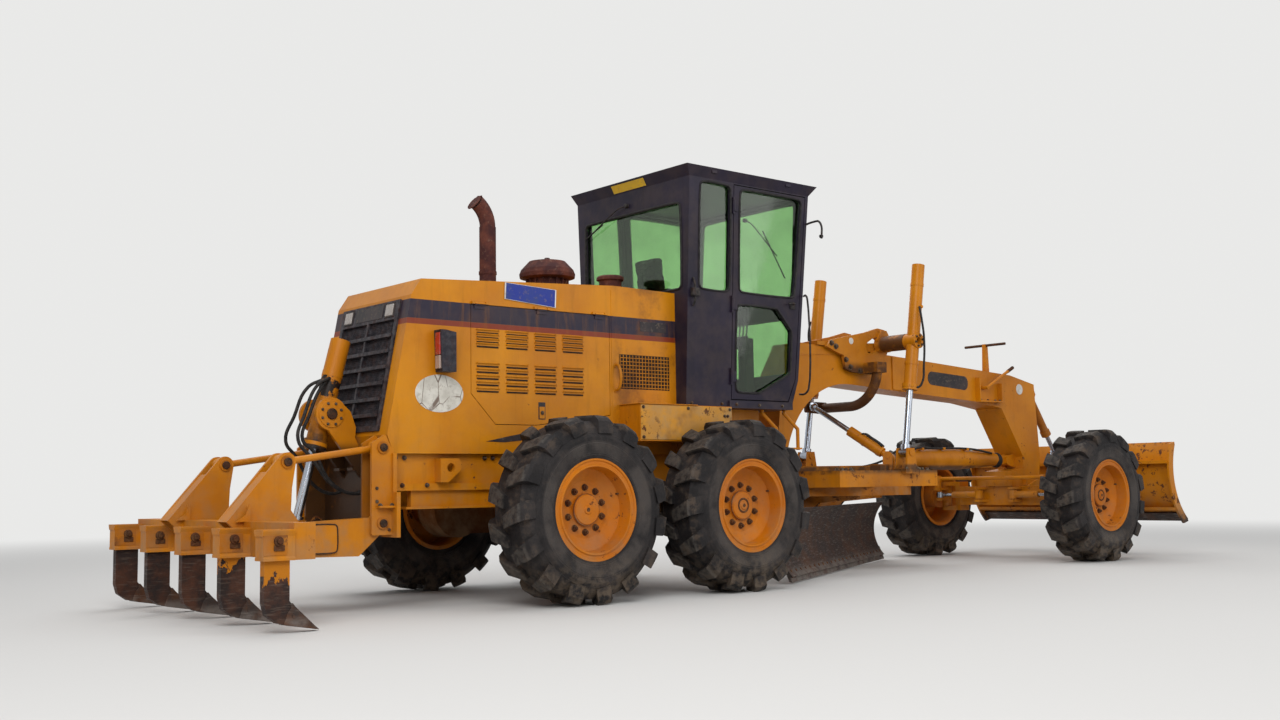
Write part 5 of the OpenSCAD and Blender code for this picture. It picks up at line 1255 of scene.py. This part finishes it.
# Lift cylinders: a hose runs down the outside of each barrel to its port, with two band clamps and a
# gland ring at the lower end.
hose_route = (
    (4.400, 0.712, 2.520), (4.392, 0.738, 2.400), (4.410, 0.745, 2.223), (4.402, 0.738, 1.950),
    (4.374, 0.728, 1.775), (4.330, 0.712, 1.738), (4.306, 0.700, 1.752),
)
for side_name, side in wheel_sides.items():
    body = f"lift_barrel_{side_name}"
    lift_trunnion = Vector((lift_x, side * lift_y, lift_z))
    lift_eye = Vector((4.2045, side * lift_y, 1.120))
    down = (lift_eye - lift_trunnion).normalized()
    across = Vector((0, side, 0))
    bands = [facing(down, place(*(lift_trunnion + down * step))) for step in (-0.56, 0.22)]
    parts = repeated(hoop(0.0655, -0.014, 0.014), bands)
    parts.append(moved(hoop(0.0755, 0.425, 0.455), facing(down, place(*lift_trunnion))))
    port_place = place(*(lift_trunnion + down * -0.335 + across * 0.055))
    parts.append(moved(disc(0.016, 0, 0.03, 0.004, 8), facing(across, port_place)))
    finish_piece(parts, f"lift_fittings_{side_name}", frame_paint, body)
    hose = sweep(on_flank(side, hose_route), 0.0105)
    finish_piece([hose], f"lift_hose_{side_name}", hose_rubber, body)

# Ball joint of the drawbar: a folded rubber boot keeps grit off the ball.
folds = []
for fold in range(4):
    deselect()
    bpy.ops.mesh.primitive_torus_add(
        major_radius=0.070 - 0.005 * fold, minor_radius=0.013, major_segments=36, minor_segments=10
    )
    folds.append(moved(bpy.context.object, facing((-1, 0, 0), place(6.535 - 0.017 * fold, 0, 1.062))))
finish_piece(folds, "ball_boot", hose_rubber, "drawbar")

# The cross bar and the lever's end are bare steel, rusty where hands have rubbed the paint off, and the
# curved bar below the saddle is brown with old grease.
handle_steel = worn_metal("handle_steel", (0.040, 0.020, 0.013), (0.10, 0.045, 0.022), 0.6, 0.55, 0.5)
post_grip = moved(disc(0.0145, -0.262, 0.262, 0.004, 16), facing((0, 1, 0), place(6.4095, 0, 2.316)))
finish_piece([post_grip], "post_grip", handle_steel, "front_frame")
lever_end, lever_start = Vector((6.5635, -0.239, 2.062)), Vector((6.0935, -0.239, 1.830))
at_end = facing(lever_end - lever_start, place(*lever_end))
lever_grip = moved(disc(0.0185, -0.10, 0.006, 0.004, 16), at_end)
finish_piece([lever_grip], "lever_grip", handle_steel, "front_frame")
saddle_paint = enamel(
    "saddle_paint", amber, amber_faded, wear=0.58, dust_top=2.4, dust_share=0.45, shine=0.42
)
tree = saddle_paint.node_tree
low_part = stepped(tree, along_axis(tree, "Z"), 1.93, 2.02, 0.95, 0.12)
old_grease = product(tree, low_part, cloud(tree, 5, 6, 0.65, low=0.22, high=0.48))
outer_ends = stepped(tree, product(tree, along_axis(tree, "Y"), 0, "ABSOLUTE"), 0.245, 0.30, 0.0, 0.9)
brown_ends = product(tree, outer_ends, cloud(tree, 7, 6, 0.65, low=0.25, high=0.5))
stained(saddle_paint, product(tree, old_grease, brown_ends, "MAXIMUM"), (0.062, 0.026, 0.012))
recoat(["saddle"], saddle_paint)
yoke_paint = enamel(
    "yoke_paint", (0.54, 0.185, 0.002), (0.36, 0.115, 0.004),
    wear=0.56, dust_top=1.2, dust_share=0.35, shine=0.42,
)
# The darker band round the yoke's upper part is painted shade, broken up with noise.
tree = yoke_paint.node_tree
yoke_height = along_axis(tree, "Z")
upper_face = stepped(tree, yoke_height, 0.90, 0.95)
yoke_band = product(tree, upper_face, stepped(tree, yoke_height, 0.99, 1.02, 1.0, 0.0))
yoke_top_shade = product(tree, yoke_band, cloud(tree, 6, 6, 0.65, low=0.28, high=0.55))
stained(yoke_paint, product(tree, yoke_top_shade, 0.85), (0.050, 0.028, 0.016))
recoat(["drawbar"], yoke_paint)

# Drawbar and circle: wear shoes bolted on the yoke, hoses clipped along the tapered tube, and the
# circle's inner ring of teeth, black with grease.
circle_middle = 3.9495
yoke_spots = [(x, y) for x in (-0.62, -0.50, 0.48, 0.60) for y in (-0.62, -0.56, 0.56, 0.62)]
spots = [place(circle_middle + x, y, 0.9505) for x, y in yoke_spots]
bolts("yoke_bolts", spots, (0, 0, 1), 0.032, "drawbar", 0.018, 0.006)
tube_route = (
    (6.36, 0.070, 1.135), (6.0, 0.075, 1.178), (5.4, 0.078, 1.180), (5.0, 0.10, 1.165), (4.86, 0.19, 1.06),
    (4.62, 0.42, 0.985), (4.40, 0.56, 0.968),
)
for side_name, side in wheel_sides.items():
    hose = sweep(on_flank(side, tube_route), 0.0115)
    finish_piece([hose], f"drawbar_hose_{side_name}", hose_rubber, "drawbar")
    eye_bolts = [place(4.2045 + x, side * (lift_y + 0.066), 0.966) for x in (-0.07, 0.09)]
    bolts(f"lift_eye_bolts_{side_name}", eye_bolts, (0, 0, 1), 0.022, "drawbar", 0.010, 0.003)
clips = []
for x, top in ((5.9, 1.176), (5.5, 1.180), (5.15, 1.174)):
    clips.append(rounded_block(place(x, -0.098, top - 0.014), place(x + 0.03, 0.098, top + 0.013), 0.004))
finish_piece(clips, "drawbar_clips", frame_paint, "drawbar")
parked = Matrix.Translation(place(circle_middle, 0, 0)) @ Matrix.Rotation(math.radians(-62), 4, "Z")
tooth = rounded_block((-0.020, -0.014, 0.724), (0.006, 0.014, 0.796), 0.003, 1)
inner_radius = Matrix.Translation((0.57, 0, 0))
turns = [parked @ Matrix.Rotation(math.radians(6 * turn), 4, "Z") @ inner_radius for turn in range(60)]
finish_piece(repeated(tooth, turns), "circle_teeth", grease_dark, "circle")

# Moldboard fittings: square-headed plough bolts hold the cutting edge, with their nuts behind, and a
# second row holds the end bits.
edge_places = [-1.75 + 0.152 * number for number in range(24)]
front_facing = Vector((0.941, 0, 0.339))
heads = [parked @ facing(front_facing, Vector((0.0121, y, 0.1024))) for y in edge_places]
for y in (-1.775, -1.70, 1.70, 1.775):
    heads.append(parked @ facing(front_facing, Vector((0.0272, y, 0.0606))))
edge_bolt = rounded_block((-0.0135, -0.0135, -0.004), (0.0135, 0.0135, 0.008), 0.003)
finish_piece(repeated(edge_bolt, heads), "edge_bolts", nut_rust, "moldboard")
back_facing = Vector((-0.924, 0, -0.381))
nuts = [parked @ facing(back_facing, Vector((-0.0164, y, 0.1022))) for y in edge_places]
finish_piece(repeated(disc(0.016, -0.004, 0.014, 0.003, 6), nuts), "edge_nuts", nut_rust, "moldboard")
arm_spots = ((-0.30, 0.50), (-0.26, 0.36), (-0.22, 0.20), (-0.44, 0.72), (-0.2, 0.71), (0.1, 0.72))
studs = [
    parked @ facing((0, side, 0), Vector((x, side * 0.5255, z))) for side in (-1, 1) for x, z in arm_spots
]
finish_piece(repeated(disc(0.020, -0.002, 0.014, 0.003, 6), studs), "arm_bolts", nut_rust, "circle")

# Shift cylinder: its two pipes run along the barrel, which carries two bands. Their places are counted
# from the cylinder's foot along its own axis.
shift_foot, shift_head = Vector((4.2535, -0.400, 1.080)), Vector((3.9935, 0.330, 1.600))
shift_way = (shift_head - shift_foot).normalized()
shift_side = shift_way.cross(Vector((0, 0, 1))).normalized()
shift_up = shift_side.cross(shift_way).normalized()
bands = [facing(shift_way, place(*(shift_foot + shift_way * step))) for step in (0.115, 0.290)]
barrel_bands = repeated(hoop(0.0535, -0.012, 0.012), bands)
finish_piece(barrel_bands, "shift_barrel_bands", frame_paint, "shift_barrel")
shift_lines = []
for spread in (-0.026, 0.026):
    route = [
        shift_foot + shift_way * step + shift_up * height + shift_side * spread
        for step, height in ((0.345, 0.047), (0.330, 0.060), (0.26, 0.062), (0.16, 0.062), (0.105, 0.055))
    ]
    shift_lines.append(sweep([place(*point) for point in route], 0.0085))
finish_piece(shift_lines, "shift_barrel_pipes", hose_rubber, "shift_barrel")

# The front blade: its paint is worn to dark steel low down, and a bolted cutting edge lies along its foot.
# The edge stands at the slope of the blade's lower end.
dozer_paint = enamel("dozer_paint", amber, amber_faded, wear=0.56, dust_top=1.0, dust_share=0.6)
tree = dozer_paint.node_tree
low_edge = stepped(tree, along_axis(tree, "Z"), 0.38, 0.56, 1.0, 0.0)
bottom_wear = product(tree, low_edge, cloud(tree, 7, 6, 0.65, low=0.28, high=0.55))
stained(dozer_paint, bottom_wear, (0.045, 0.028, 0.020))
recoat(["dozer"], dozer_paint)
on_edge = Matrix(
    ((-0.804, 0, 0.595, x_of(8.1735)), (0, -1, 0, 0), (0.595, 0, 0.804, 0.370), (0, 0, 0, 1))
)
cutting_edge = moved(rounded_block((0.004, -1.296, -0.004), (0.150, 1.296, 0.014), 0.003), on_edge)
finish_piece([cutting_edge], "dozer_cutting_edge", blade_steel, "dozer")
heads = [on_edge @ Matrix.Translation((0.085, -1.2 + 0.16 * number, 0.013)) for number in range(16)]
edge_heads = repeated(disc(0.015, -0.004, 0.009, 0.003, 16), heads)
finish_piece(edge_heads, "dozer_edge_bolts", nut_rust, "dozer")
